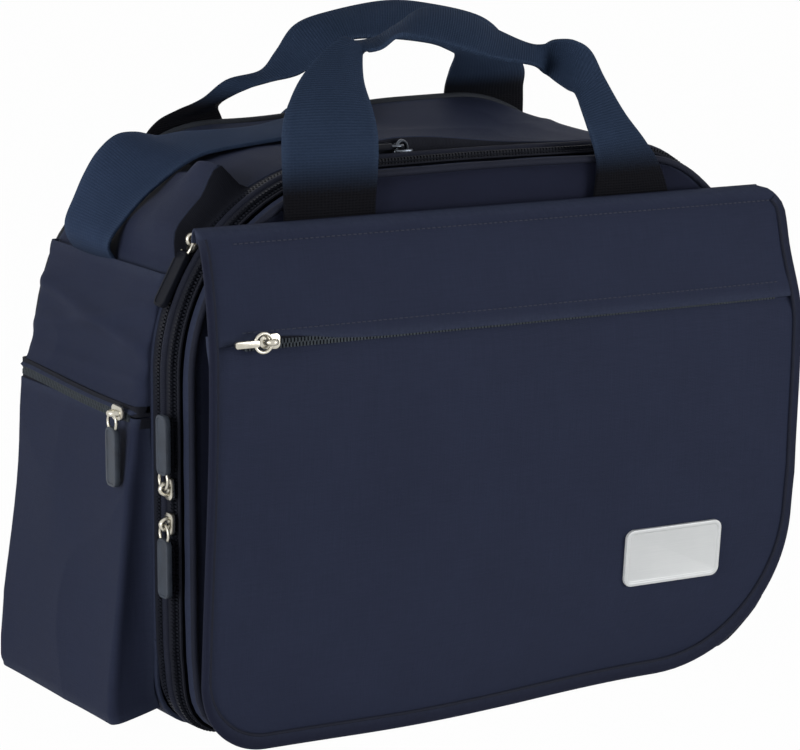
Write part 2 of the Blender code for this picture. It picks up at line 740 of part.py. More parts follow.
def build_adjuster():
    """A slide buckle round the webbing: two bars on its outer side and a middle bar on its inner side."""
    height = 26 * MM
    bar = 5 * MM
    plate = 2.4 * MM
    inner = (STRAP_WIDTH + 2 * MM, STRAP_THICKNESS + 1.6 * MM)
    outer = (inner[0] + 7 * MM, inner[1] + 2 * plate)
    loops = [rounded_box_outline(*outer, 2 * MM), rounded_box_outline(*inner, 0.8 * MM)]
    sleeve = extruded_mesh("strap_adjuster", loops, height, Matrix.Identity(4))
    buckle = add_object("strap_adjuster", sleeve, "dark_plastic")
    buckle.location = (STRAP_HANG_X, STRAP_HANG_Y, ADJUSTER_Z)
    wall_y = (inner[1] + outer[1]) / 4
    window = (STRAP_WIDTH, 2 * plate, height - 2 * bar)
    boolean(buckle, box_mesh(window, (0, wall_y, 0)), "DIFFERENCE")
    slot = (STRAP_WIDTH, 2 * plate, height)
    slot_z = (height + bar) / 2
    for way in (-1, 1):
        boolean(buckle, box_mesh(slot, (0, -wall_y, way * slot_z)), "DIFFERENCE")


# Zip sliders and pulls


def slider_mesh(name, along):
    """A slider plate with an arched bridge; along turns the plate under the bridge, in degrees."""
    plan = [(SLIDER_LENGTH / 2, SLIDER_WIDTH * 0.28), (SLIDER_LENGTH * 0.2, SLIDER_WIDTH / 2),
            (-SLIDER_LENGTH * 0.3, SLIDER_WIDTH / 2), (-SLIDER_LENGTH / 2, SLIDER_WIDTH * 0.3)]
    plan = plan + [(x, -y) for x, y in reversed(plan)]
    lift = Matrix.Translation((0, 0, SLIDER_HEIGHT / 2))
    return extruded_mesh(name, [plan], SLIDER_HEIGHT, lift @ Matrix.Rotation(math.radians(along), 4, "Z"))


def bridge_mesh(name):
    """The bridge seen from the side, an arch with the eye that the link hangs in."""
    arch_line = [(BRIDGE_HALF_LENGTH, SLIDER_HEIGHT - GAP)]
    arch_line += arc((0, PIVOT_HEIGHT), BRIDGE_HALF_LENGTH, 0, 180, 8)
    arch_line.append((-BRIDGE_HALF_LENGTH, SLIDER_HEIGHT - GAP))
    eye = arc((0, PIVOT_HEIGHT), EYE_RADIUS, 0, 324, 9)
    return extruded_mesh(name, [arch_line, eye], BRIDGE_WIDTH, Matrix.Rotation(math.radians(90), 4, "X"))


def link_mesh(wire):
    """The wire ring, centred one ring radius along X from the eye it hangs in."""
    bpy.ops.mesh.primitive_torus_add(major_radius=LINK_RADIUS, minor_radius=wire, major_segments=14,
                                     minor_segments=6, location=(0, 0, 0))
    obj = bpy.context.object
    mesh = obj.data
    bpy.data.objects.remove(obj)
    mesh.transform(Matrix.Translation((LINK_RADIUS, 0, 0)))
    return mesh


def tab_mesh(name, size):
    """The pull tab, moulded round the far side of the link."""
    length, width, thickness = size
    outline = rounded_box_outline(length, width, width * 0.3, 3)
    start = 2 * LINK_RADIUS - 2.4 * MM
    return extruded_mesh(name, [outline], thickness, Matrix.Translation((start + length / 2, 0, 0)))


def zip_pull(word, place, outward, pull_way, along=0, size=TAB_SIZE, finish="grey_rubber", droop=0):
    """A slider on a zip at a place on its surface, with a link and a tab along pull_way that droops in degrees."""
    z_axis = Vector(outward).normalized()
    x_axis = Vector(pull_way).normalized()
    y_axis = z_axis.cross(x_axis)
    rotation = Matrix((x_axis, y_axis, z_axis)).transposed()
    base = empty(word + "_base", Vector(place) + z_axis * GAP, rotation)
    slider = add_object(word + "_slider", slider_mesh(word + "_slider", along), "bright_metal", parent=base)
    boolean(slider, bridge_mesh(word + "_bridge"), "UNION")
    hang = Matrix.Rotation(math.radians(droop), 3, "Y")
    pivot = empty(word + "_pivot", (0, 0, PIVOT_HEIGHT), hang, parent=base)
    add_object(word + "_link", link_mesh(LINK_WIRE_RADIUS), "bright_metal", parent=pivot)
    tab = add_object(word + "_tab", tab_mesh(word + "_tab", size), finish, parent=pivot)
    boolean(tab, link_mesh(LINK_WIRE_RADIUS + GAP), "DIFFERENCE")


def build_pulls():
    turn = math.radians(39)
    arc_x = HALF_WIDTH - SHOULDER_RADIUS
    arc_z = FRONT_TOP - SHOULDER_RADIUS
    outward = Vector((-math.cos(turn), 0, math.sin(turn)))
    downward = Vector((-math.sin(turn), 0, -math.cos(turn)))
    place = Vector((-arc_x, MAIN_ZIP_Y, arc_z)) + outward * SHOULDER_RADIUS
    zip_pull("main_zip_left", place, outward, downward, droop=MAIN_PULL_DROOP)
    zip_pull("main_zip_top", (-42 * MM, MAIN_ZIP_Y, FRONT_TOP), (0, 0, 1), (-1, 0, 0))
    zip_pull("front_zip_upper", (-HALF_WIDTH, FRONT_ZIP_Y, 137 * MM), (-1, 0, 0), (0, 0, 1))
    zip_pull("front_zip_lower", (-HALF_WIDTH, FRONT_ZIP_Y, 118 * MM), (-1, 0, 0), (0, 0, -1))
    face = flap_face_y(FLAP_ZIP_Z) - TAPE_THICKNESS - 2 * GAP
    zip_pull("flap_zip", (-155 * MM, face, FLAP_ZIP_Z), (0, -1, 0), (-1, 0, 0), 0, BAR_SIZE, "bright_metal")
    for word, side in (("left", -1), ("right", 1)):
        out_x = side * (POCKET_MOUTH_X + TAPE_THICKNESS / 2 + 2 * GAP)
        zip_pull(word + "_pocket", (out_x, -26 * MM, POCKET_ZIP_Z), (side, 0, 0), (0, 0, -1), 90)


build_shell()
build_middle()
build_front()
build_flap()
for pocket_word, pocket_side in (("left", -1), ("right", 1)):
    build_pocket(pocket_word, pocket_side)
build_handles()
build_strap()
build_adjuster()
build_pulls()
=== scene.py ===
"""Changing bag: sewn cloth, zips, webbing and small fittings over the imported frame. Metres, +Z up."""
import math

import bpy
from mathutils import Matrix, Vector, noise


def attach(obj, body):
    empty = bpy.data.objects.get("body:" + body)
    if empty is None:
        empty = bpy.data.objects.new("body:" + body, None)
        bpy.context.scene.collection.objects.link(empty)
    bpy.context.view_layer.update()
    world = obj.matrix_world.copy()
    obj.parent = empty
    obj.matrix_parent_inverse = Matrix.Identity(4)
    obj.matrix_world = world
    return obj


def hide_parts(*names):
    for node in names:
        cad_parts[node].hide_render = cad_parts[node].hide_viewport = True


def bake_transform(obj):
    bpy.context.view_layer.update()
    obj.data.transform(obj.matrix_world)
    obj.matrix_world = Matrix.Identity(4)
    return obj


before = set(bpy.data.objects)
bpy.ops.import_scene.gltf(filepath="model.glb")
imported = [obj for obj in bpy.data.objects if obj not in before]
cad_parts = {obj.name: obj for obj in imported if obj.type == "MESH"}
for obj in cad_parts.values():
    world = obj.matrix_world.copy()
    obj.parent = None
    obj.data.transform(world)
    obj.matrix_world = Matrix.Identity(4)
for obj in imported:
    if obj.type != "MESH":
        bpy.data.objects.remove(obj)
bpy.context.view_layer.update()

MM = 0.001

# Body outline, as in the frame
HALF_WIDTH = 190 * MM
FRONT_TOP = 303 * MM
BACK_TOP = 315 * MM
SHOULDER = 108 * MM
BACK_RISE = 140 * MM
CORNER = 45 * MM
CORNER_FILL = 8 * MM
CORNER_SLACK = 4.5 * MM
FRONT_INSET = 5 * MM
RAISED_BOTTOM = 4 * MM
SEAM_TURN = math.radians(28)
LIP_LEAN = 0.2
LEAN_SEEDS = (17.3, 31.9, 43.6)

# Depth of each layer, front to back
FRONT_PANEL_Y = -75 * MM
BAND_FRONT_Y = -73 * MM
BAND_REAR_Y = -66.5 * MM
FRONT_ZIP_Y = -60.9 * MM
MID_PIPING_Y = -53.3 * MM
MAIN_ZIP_Y = -45.7 * MM
SHELL_FRONT_Y = -40 * MM
SHELL_REAR_Y = 113 * MM
BACK_PANEL_Y = 115.3 * MM
BAG_MIDDLE = Vector((0, 36, 150)) * MM

# Zips
TAPE_WIDTH = 5 * MM
TAPE_GAP = 0.3 * MM
TOOTH_PITCH = 2.0 * MM
TOOTH_SIZE = Vector((1.1, 2.6, 1.5)) * MM

# Flap
FLAP_HALF_WIDTH = 187 * MM
FLAP_TOP = 276 * MM
FLAP_BOTTOM = 3 * MM
FLAP_LEFT_CORNER = 38 * MM
FLAP_RIGHT_CORNER = 86 * MM
FLAP_EDGE_Y = -84 * MM
FLAP_BOW = 16 * MM
FLAP_BOW_RISE = 0.55
FLAP_HALF_THICKNESS = 2 * MM
FLAP_ZIP_Z = 219 * MM
FLAP_ZIP_HALF_LENGTH = 168 * MM
PLATE_SIZE = (64 * MM, 33 * MM)
PLATE_CENTRE = (105 * MM, 74 * MM)
PLATE_CORNER = 5 * MM

# Side pockets
POCKET_FRONT_Y = -38 * MM
POCKET_REAR_Y = 110 * MM
POCKET_BASE_X = 214 * MM
POCKET_MOUTH_X = 201.5 * MM
POCKET_ROOT_X = 191 * MM
POCKET_BASE_Z = 5 * MM
POCKET_BASE_RISE = 7 * MM
POCKET_ZIP_Z = 173 * MM
FACING_FOLDS = ((58 * MM, -0.22, 2.8 * MM), (34 * MM, 0.12, 3.2 * MM), (18 * MM, -0.04, 3.4 * MM))

# Webbing
WEBBING_WIDTH = 54 * MM
WEBBING_THICKNESS = 2.4 * MM
STRAP_WIDTH = 50 * MM
STRAP_THICKNESS = 2.2 * MM

# Slider and pull
PIVOT_HEIGHT = 4.6 * MM
SLIDER_SIZE = Vector((12, 9, 2.4)) * MM
LINK_RADIUS = 5 * MM
LINK_WIRE = 0.9 * MM
TAB_SIZE = Vector((32, 12, 3.2)) * MM
BAR_SIZE = Vector((14, 3.8, 2.4)) * MM
SEAT_GAP = 0.3 * MM


# Camera


def make_camera():
    data = bpy.data.cameras.new("camera")
    data.sensor_width = 36
    data.lens = 155.79
    camera = bpy.data.objects.new("camera", data)
    camera.location = (-0.9763, -1.658, 0.5282)
    camera.rotation_euler = (math.radians(79.454), 0, math.radians(-30.066))
    bpy.context.scene.collection.objects.link(camera)
    bpy.context.scene.camera = camera


make_camera()


# Shader maths


class Wire:
    """A socket that takes part in Python sums; each operation adds its Math node."""

    def __init__(self, paint, socket):
        self.paint = paint
        self.socket = socket

    def _math(self, operation, first, second=None):
        values = {0: first}
        if second is not None:
            values[1] = second
        return self.paint.node("ShaderNodeMath", {"operation": operation}, values)

    def __add__(self, other):
        return self._math("ADD", self, other)

    def __radd__(self, other):
        return self._math("ADD", other, self)

    def __sub__(self, other):
        return self._math("SUBTRACT", self, other)

    def __rsub__(self, other):
        return self._math("SUBTRACT", other, self)

    def __mul__(self, other):
        return self._math("MULTIPLY", self, other)

    def __rmul__(self, other):
        return self._math("MULTIPLY", other, self)

    def __truediv__(self, other):
        return self._math("DIVIDE", self, other)

    def __pow__(self, other):
        return self._math("POWER", self, other)

    def __abs__(self):
        return self._math("ABSOLUTE", self)

    def wave(self, pitch):
        """A sine wave of this value with the given pitch, from 0 to 1."""
        return 0.5 + 0.5 * self._math("SINE", self * (2 * math.pi / pitch))

    def clamped(self):
        return self._math("MINIMUM", self._math("MAXIMUM", self, 0.0), 1.0)


class Paint:
    """A material under construction with its one shader."""

    def __init__(self, name, roughness, metallic=0.0, specular=0.3):
        self.material = bpy.data.materials.new(name)
        self.material.use_nodes = True
        self.tree = self.material.node_tree
        self.shader = self.tree.nodes["Principled BSDF"]
        self.fixed("Roughness", roughness)
        self.fixed("Metallic", metallic)
        self.fixed("Specular IOR Level", specular)

    def fixed(self, socket, value):
        self.shader.inputs[socket].default_value = value

    def node(self, kind, settings, values, output=0):
        made = self.tree.nodes.new(kind)
        for name, value in settings.items():
            if name == "stops":
                self._stops(made, value)
            else:
                setattr(made, name, value)
        for name, value in values.items():
            self._feed(made.inputs[name], value)
        return Wire(self, made.outputs[output])

    def _stops(self, ramp, stops):
        elements = ramp.color_ramp.elements
        while len(elements) < len(stops):
            elements.new(0.5)
        for element, (place, colour) in zip(elements, stops):
            element.position = place
            element.color = (*colour, 1.0)

    def _feed(self, socket, value):
        if isinstance(value, Wire):
            self.tree.links.new(value.socket, socket)
        else:
            socket.default_value = value

    def drive(self, socket, wire):
        self.tree.links.new(wire.socket, self.shader.inputs[socket])

    def object_place(self):
        return self.node("ShaderNodeTexCoord", {}, {}, "Object")

    def cloth_place(self):
        return self.node("ShaderNodeUVMap", {"uv_map": "UVMap"}, {})

    def parts(self, place):
        axes = ("X", "Y", "Z")
        split = self.tree.nodes.new("ShaderNodeSeparateXYZ")
        self._feed(split.inputs[0], place)
        return [Wire(self, split.outputs[axis]) for axis in axes]

    def stretched(self, place, scale):
        return self.node("ShaderNodeVectorMath", {"operation": "MULTIPLY"}, {0: place, 1: scale})

    def cloud(self, place, scale, detail=3.0, roughness=0.55):
        values = {"Vector": place, "Scale": scale, "Detail": detail, "Roughness": roughness}
        return self.node("ShaderNodeTexNoise", {}, values, "Fac")

    def attribute(self, name):
        return self.node("ShaderNodeAttribute", {"attribute_name": name}, {}, "Fac")

    def blend_colours(self, factor, first, second):
        values = {"Factor": factor, "A": first, "B": second}
        made = self.tree.nodes.new("ShaderNodeMix")
        made.data_type = "RGBA"
        colour_inputs = {"Factor": made.inputs[0], "A": made.inputs[6], "B": made.inputs[7]}
        for name, value in values.items():
            self._feed(colour_inputs[name], value)
        return Wire(self, made.outputs[2])

    def bump(self, height, depth):
        values = {"Height": height, "Distance": depth, "Strength": 1.0}
        self.drive("Normal", self.node("ShaderNodeBump", {}, values))


def tint(red, green, blue):
    """A colour from its screen values 0 to 255."""

    def linear(value):
        share = value / 255
        return share / 12.92 if share <= 0.04045 else ((share + 0.055) / 1.055) ** 2.4

    return (linear(red), linear(green), linear(blue), 1.0)


# Materials


def nylon(name, colour, light, sheen=0.06, weave_pitch=0.55 * MM):
    """Plain-woven nylon: fine weave, slubs along both threads, uneven dye and worn edges."""
    paint = Paint(name, 0.72, specular=0.07)
    paint.fixed("Sheen Weight", sheen)
    paint.fixed("Sheen Roughness", 0.45)
    paint.fixed("Sheen Tint", light)
    place = paint.cloth_place()
    u, v, _ = paint.parts(place)
    weave = u.wave(weave_pitch) * v.wave(weave_pitch)
    warp_slub = paint.cloud(paint.stretched(place, (1400.0, 60.0, 1.0)), 1.0, 2.0)
    weft_slub = paint.cloud(paint.stretched(place, (60.0, 1400.0, 1.0)), 1.0, 2.0)
    dye = paint.cloud(place, 22.0, 4.0)
    slub = 0.5 * (warp_slub + weft_slub)
    wear = paint.attribute("hem") * paint.cloud(place, 420.0, 3.0)
    tone = (0.9 * slub + 0.7 * dye + 0.12 * weave - 0.42).clamped()
    base = paint.blend_colours(tone, colour, light)
    worn = paint.blend_colours((wear * 0.5).clamped(), base, tint(74, 82, 102))
    paint.drive("Base Color", worn)
    paint.drive("Roughness", 0.62 + 0.22 * dye)
    paint.bump(weave * 0.55 + slub * 0.9, 0.18 * MM)
    return paint.material


def webbing(name, colour, light, rib=0.8):
    """Heavy webbing: ribs across the length and columns along it, uneven dye, fluff, worn edges and painted shade
    darkening both ends.
    """
    paint = Paint(name, 0.8, specular=0.06)
    paint.fixed("Sheen Weight", 0.12)
    paint.fixed("Sheen Roughness", 0.5)
    paint.fixed("Sheen Tint", light)
    place = paint.cloth_place()
    u, v, _ = paint.parts(place)
    ribs = v.wave(1.5 * MM)
    columns = u.wave(2.1 * MM)
    fluff = paint.cloud(paint.stretched(place, (900.0, 500.0, 1.0)), 1.0, 3.0)
    dye = paint.cloud(place, 30.0, 3.0)
    wear = paint.attribute("hem") * fluff
    tone = (0.4 * rib * ribs + 0.5 * fluff + 0.6 * dye - 0.3).clamped()
    base = paint.blend_colours(tone, colour, light)
    worn = paint.blend_colours((wear * 0.45).clamped(), base, tint(70, 86, 112))
    # Painted shade: towards both ends the colour is blended to near-black, standing in for the shadow where the webbing
    # goes down to its seams.
    stain = paint.attribute("stain") * (0.85 + 0.4 * fluff)
    paint.drive("Base Color", paint.blend_colours(stain.clamped(), worn, tint(14, 14, 18)))
    paint.bump(rib * ribs + columns * 0.35 + fluff * 0.5, 0.3 * MM)
    return paint.material


def trim(name, colour, light):
    """Bias-cut trim over piping and edges: diagonal weave on the piece's own place."""
    paint = Paint(name, 0.7, specular=0.12)
    place = paint.object_place()
    x, y, z = paint.parts(place)
    twill = (x + y + z).wave(1.1 * MM)
    fluff = paint.cloud(place, 700.0, 3.0)
    dye = paint.cloud(place, 40.0, 3.0)
    base = paint.blend_colours((0.4 * twill + 0.5 * fluff + 0.5 * dye - 0.3).clamped(), colour, light)
    paint.drive("Base Color", base)
    paint.bump(twill * 0.5 + fluff * 0.6, 0.15 * MM)
    return paint.material


def tape_cloth():
    """Zip tape: herringbone on the cloth's own map, with lighter threads."""
    paint = Paint("zip_tape_cloth", 0.75, specular=0.1)
    place = paint.cloth_place()
    u, v, _ = paint.parts(place)
    herringbone = (u + abs(v.wave(2.4 * MM) - 0.5) * (1.4 * MM)).wave(0.9 * MM)
    fluff = paint.cloud(place, 800.0, 3.0)
    tone = (0.6 * herringbone + 0.5 * fluff - 0.2).clamped()
    paint.drive("Base Color", paint.blend_colours(tone, tint(20, 21, 29), tint(44, 47, 57)))
    paint.bump(herringbone * 0.6 + fluff * 0.4, 0.15 * MM)
    return paint.material


def tooth_plastic(name, dark, pale):
    """Moulded zip teeth, rubbed paler here and there."""
    paint = Paint(name, 0.5, specular=0.1)
    place = paint.object_place()
    rub = paint.cloud(place, 160.0, 4.0)
    paint.drive("Base Color", paint.blend_colours(rub, dark, pale))
    paint.drive("Roughness", 0.4 + 0.3 * rub)
    return paint.material


def pull_rubber(name, dark, pale, specular):
    """Rubber of the pull tabs, with a fine moulded grain and paler rubbed patches."""
    paint = Paint(name, 0.5, specular=specular)
    place = paint.object_place()
    grain = paint.cloud(place, 2600.0, 2.0)
    rub = paint.cloud(place, 130.0, 3.0)
    paint.drive("Base Color", paint.blend_colours((rub * 1.3 - 0.2).clamped(), dark, pale))
    paint.drive("Roughness", 0.42 + 0.25 * rub)
    paint.bump(grain, 0.06 * MM)
    return paint.material


def nickel(name, bright, dark):
    """Plated sliders and links: metal with fine scratches and dull spots."""
    paint = Paint(name, 0.24, metallic=1.0, specular=0.5)
    place = paint.object_place()
    scratch = paint.cloud(paint.stretched(place, (400.0, 2400.0, 900.0)), 1.0, 3.0)
    dull = paint.cloud(place, 240.0, 3.0)
    paint.drive("Base Color", paint.blend_colours(dull, bright, dark))
    paint.drive("Roughness", 0.16 + 0.26 * dull)
    paint.bump(scratch, 0.02 * MM)
    return paint.material


def plate_silver():
    """Blank label plate: satin silver with a brushed grain."""
    paint = Paint("plate_silver", 0.42, metallic=0.1, specular=0.4)
    place = paint.object_place()
    brush = paint.cloud(paint.stretched(place, (60.0, 900.0, 2200.0)), 1.0, 3.0)
    cloud = paint.cloud(place, 60.0, 3.0)
    tone = (0.7 * brush + 0.5 * cloud - 0.1).clamped()
    paint.drive("Base Color", paint.blend_colours(tone, tint(214, 217, 218), tint(230, 232, 232)))
    paint.drive("Roughness", 0.32 + 0.16 * cloud)
    paint.bump(brush, 0.015 * MM)
    return paint.material


def thread():
    """Sewing thread, twisted."""
    paint = Paint("thread", 0.65, specular=0.3)
    place = paint.object_place()
    x, y, z = paint.parts(place)
    twist = (x + 0.8 * y + z).wave(0.5 * MM)
    paint.drive("Base Color", paint.blend_colours(twist, tint(28, 32, 48), tint(46, 52, 71)))
    return paint.material


def moulded_plastic():
    """Black moulded plastic of the buckle and the base board."""
    paint = Paint("moulded_plastic", 0.45, specular=0.4)
    place = paint.object_place()
    grain = paint.cloud(place, 1500.0, 2.0)
    rub = paint.cloud(place, 70.0, 3.0)
    paint.drive("Base Color", paint.blend_colours(rub, tint(17, 18, 22), tint(40, 42, 48)))
    paint.drive("Roughness", 0.36 + 0.24 * rub)
    paint.bump(grain, 0.08 * MM)
    return paint.material


def hook_cloth():
    """Pile of the flap's closure patches."""
    paint = Paint("hook_cloth", 0.9, specular=0.1)
    place = paint.object_place()
    pile = paint.cloud(place, 1300.0, 2.0)
    paint.drive("Base Color", paint.blend_colours(pile, tint(8, 9, 14), tint(40, 43, 56)))
    paint.bump(pile, 0.6 * MM)
    return paint.material


NAVY = nylon("navy_nylon", tint(37, 42, 61), tint(50, 56, 77), 0.03)
# A darker copy of the navy nylon. It is painted shade on the front panel where that shows above the flap. On the flap's
# binding it is the binding's own darker cloth, plus painted shade on the boxed edge.
NAVY_SHADED = nylon("navy_nylon_shaded", tint(27, 30, 46), tint(39, 43, 62))
LINING = nylon("lining_cloth", tint(22, 24, 34), tint(36, 39, 50))
WEBBING = webbing("navy_webbing", tint(34, 47, 67), tint(52, 66, 90))
STRAP = webbing("strap_webbing", tint(41, 54, 77), tint(58, 73, 101), 0.4)
TRIM = trim("piping_trim", tint(20, 22, 32), tint(42, 46, 62))
RIM = trim("rear_piping_trim", tint(38, 41, 48), tint(60, 64, 70))
TAPE = tape_cloth()
TEETH = tooth_plastic("tooth_plastic", tint(14, 15, 21), tint(33, 36, 45))
COIL = tooth_plastic("coil_plastic", tint(44, 49, 55), tint(72, 79, 86))
RUBBER = pull_rubber("pull_rubber", tint(34, 40, 50), tint(66, 74, 86), 0.4)
# A darker copy of the pull rubber with little gloss: painted shade on the main zip's tabs.
SHADED_RUBBER = pull_rubber("shaded_pull_rubber", tint(15, 17, 24), tint(27, 30, 39), 0.06)
METAL = nickel("nickel", tint(214, 210, 198), tint(168, 164, 152))
# A darker copy of the nickel: painted shade and dark reflections on the top zip's slider and link, which are plated
# like the others.
SHADED_NICKEL = nickel("shaded_nickel", tint(104, 110, 118), tint(58, 62, 70))
SILVER = plate_silver()
THREAD = thread()
PLASTIC = moulded_plastic()
PILE = hook_cloth()


# Modelling helpers


def deselect():
    bpy.ops.object.select_all(action="DESELECT")


def choose(obj):
    deselect()
    obj.select_set(True)
    bpy.context.view_layer.objects.active = obj


def apply_modifiers(obj):
    choose(obj)
    for modifier in list(obj.modifiers):
        bpy.ops.object.modifier_apply(modifier=modifier.name)


def smooth(obj, angle=50):
    choose(obj)
    bpy.ops.object.shade_smooth_by_angle(angle=math.radians(angle))


def mix(first, second, share):
    return first + (second - first) * share


def ease(share):
    """Smooth step from 0 to 1."""
    share = min(max(share, 0.0), 1.0)
    return share * share * (3 - 2 * share)


def ripple(point, size, seed):
    """Smooth uneven height from -1 to 1; size is the length of a wave."""
    return noise.noise(point / size + Vector((seed, 2.3 * seed, 0.7 * seed)))


def crease(point, size, seed):
    """Narrow folds from 0 to 1."""
    return (1 - abs(ripple(point, size, seed))) ** 5


def slump(point):
    """How the filled top has sunk at the rear left and swayed to the right, and the right shoulder has sunk in front."""
    rear = ease((point.y + 10 * MM) / (120 * MM)) * ease((point.z - 235 * MM) / (70 * MM))
    left = ease((40 * MM - point.x) / (110 * MM))
    front = ease((-15 * MM - point.y) / (25 * MM)) * ease((point.z - 245 * MM) / (30 * MM))
    shoulder = front * ease((point.x - 110 * MM) / (45 * MM))
    return Vector((7 * rear - 7 * shoulder, 0, (-2.5 - 7 * left) * rear)) * MM


def corner_fill(point):
    """How far stuffing pushes the left lower corner out of its round outline; in front the right one is slack."""
    side = -1 if point.x < 0 else 1
    across = side * point.x - HALF_WIDTH + CORNER
    down = CORNER - point.z
    if across <= 0 or down <= 0:
        return Vector()
    reach = math.hypot(across, down)
    slack = CORNER_SLACK * ease((SHELL_FRONT_Y - point.y) / (10 * MM))
    fill = CORNER_FILL if side < 0 else -slack
    fill *= (2 * across * down / reach**2) ** 2
    return Vector((side * across, 0, -down)) * (fill / CORNER)


def front_sag(point):
    """How far the layers in front of the main zip have sunk to the floor on the left."""
    layer = mix(2.2, 5.0, ease((MID_PIPING_Y - point.y) / (13 * MM)))
    sunk = ease((SHELL_FRONT_Y - point.y) / (4 * MM)) * ease((60 * MM - point.z) / (60 * MM))
    sunk *= ease((60 * MM - point.x) / (120 * MM))
    return Vector((0, 0, -layer * MM * sunk))


def settle(point):
    """The lean of stuffed cloth: slow, and the same for all pieces that meet."""
    footing = ease(point.z / (60 * MM))
    shift = Vector([ripple(point, 120 * MM, seed) for seed in LEAN_SEEDS])
    moved = point + slump(point) + corner_fill(point) + front_sag(point) + shift * (1.3 * MM * footing)
    moved.z = max(moved.z, 0.0)
    return moved


def cloth(name, columns, rows, place, size, hem=6 * MM):
    """A sheet laid by place(u, v); its map is in metres and its hem attribute marks the cut edges."""
    deselect()
    bpy.ops.mesh.primitive_grid_add(x_subdivisions=columns, y_subdivisions=rows, size=1)
    obj = bpy.context.object
    obj.name = name
    mesh = obj.data
    mesh.name = name
    marks = mesh.attributes.new("hem", "FLOAT", "POINT")
    for vertex, mark in zip(mesh.vertices, marks.data):
        u = vertex.co.x + 0.5
        v = vertex.co.y + 0.5
        margin = min(min(u, 1 - u) * size[0], min(v, 1 - v) * size[1])
        mark.value = max(0.0, 1 - margin / hem)
        vertex.co = place(u, v)
    for corner in mesh.uv_layers.active.data:
        corner.uv = (corner.uv.x * size[0], corner.uv.y * size[1])
    mesh.update()
    return obj


def face_away(obj, middle):
    """Turn a sheet's faces so that they look away from a place."""
    total = 0.0
    for face in obj.data.polygons:
        total += face.area * face.normal.dot(face.center - middle)
    if total < 0:
        obj.data.flip_normals()


def thicken(obj, thickness, middle=BAG_MIDDLE, offset=-1.0, edge=0.0):
    """Give a sheet its thickness and, if asked, a rounded cut edge."""
    if middle is not None:
        face_away(obj, middle)
    wall = obj.modifiers.new("wall", "SOLIDIFY")
    wall.thickness = thickness
    wall.offset = offset
    if edge:
        rim = obj.modifiers.new("rim", "BEVEL")
        rim.width = edge
        rim.segments = 2
        rim.limit_method = "ANGLE"
        rim.angle_limit = math.radians(60)
    apply_modifiers(obj)
    smooth(obj)


def finish(obj, material, slot, *nodes):
    """Give a piece its material and hide the nodes that it stands for; slot is not used."""
    obj.data.materials.clear()
    obj.data.materials.append(material)
    if nodes:
        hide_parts(*nodes)


def add_piece(obj, body, material, slot, *nodes):
    finish(obj, material, slot, *nodes)
    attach(obj, body)
    return obj


def cord_tube(name, points, radius, closed=True):
    """A round cord through points, as a mesh."""
    deselect()
    curve = bpy.data.curves.new(name, "CURVE")
    curve.dimensions = "3D"
    curve.bevel_depth = radius
    curve.bevel_resolution = 3
    curve.use_fill_caps = not closed
    spline = curve.splines.new("POLY")
    spline.points.add(len(points) - 1)
    for slot, point in zip(spline.points, points):
        slot.co = (*point, 1.0)
    spline.use_cyclic_u = closed
    obj = bpy.data.objects.new(name, curve)
    bpy.context.scene.collection.objects.link(obj)
    choose(obj)
    bpy.ops.object.convert(target="MESH")
    obj = bpy.context.object
    smooth(obj)
    return obj


def repeat_shape(name, shape, places):
    """One mesh that holds a small shape at every place."""
    points = []
    faces = []
    for place in places:
        first = len(points)
        points += [place @ vertex.co for vertex in shape.vertices]
        faces += [tuple(first + i for i in face.vertices) for face in shape.polygons]
    mesh = bpy.data.meshes.new(name)
    mesh.from_pydata(points, [], faces)
    mesh.update()
    obj = bpy.data.objects.new(name, mesh)
    bpy.context.scene.collection.objects.link(obj)
    return obj


def stand(along, outward, place):
    """A frame whose X runs along and whose Z looks outward."""
    x_axis = along.normalized()
    z_axis = (outward - x_axis * outward.dot(x_axis)).normalized()
    y_axis = z_axis.cross(x_axis)
    turn = Matrix((x_axis, y_axis, z_axis)).transposed().to_4x4()
    return Matrix.Translation(place) @ turn


def spaced(points, outwards, pitch, start=0.0):
    """Frames at even steps along a line of points that has an outward direction at each."""
    places = []
    travelled = 0.0
    wanted = start
    for near, far, out in zip(points, points[1:], outwards):
        step = far - near
        while wanted <= travelled + step.length:
            share = (wanted - travelled) / step.length
            places.append(stand(step, out, near + step * share))
            wanted += pitch
        travelled += step.length
    return places


def small_block(name, size):
    """A plain block with few faces, for shapes that repeat."""
    deselect()
    bpy.ops.mesh.primitive_cube_add(size=1)
    obj = bpy.context.object
    obj.data.transform(Matrix.Diagonal((*size, 1.0)))
    mesh = obj.data
    mesh.name = name
    bpy.data.objects.remove(obj)
    return mesh


TOOTH = small_block("zip_tooth", TOOTH_SIZE)
STITCH = small_block("stitch", Vector((2.2, 0.5, 0.5)) * MM)
for point in STITCH.vertices:
    if point.co.z > 0:
        point.co.x *= 0.6


def stitch_row(name, points, outwards, body, pitch=3.2 * MM):
    obj = repeat_shape(name, STITCH, spaced(points, outwards, pitch))
    return add_piece(obj, body, THREAD, "dark_trim")


# Body outline


def outline_lengths(inset, top, bottom, rise=SHOULDER):
    """Lengths of half the outline: flat base, corner, upright, shoulder and flat top; rise is the shoulder's height."""
    low = CORNER - inset
    wide = SHOULDER - inset
    tall = rise - inset
    shoulder = math.pi / 2 * math.sqrt((wide * wide + tall * tall) / 2)
    return (HALF_WIDTH - CORNER, low * math.pi / 2, top - rise - bottom - CORNER, shoulder, HALF_WIDTH - SHOULDER)


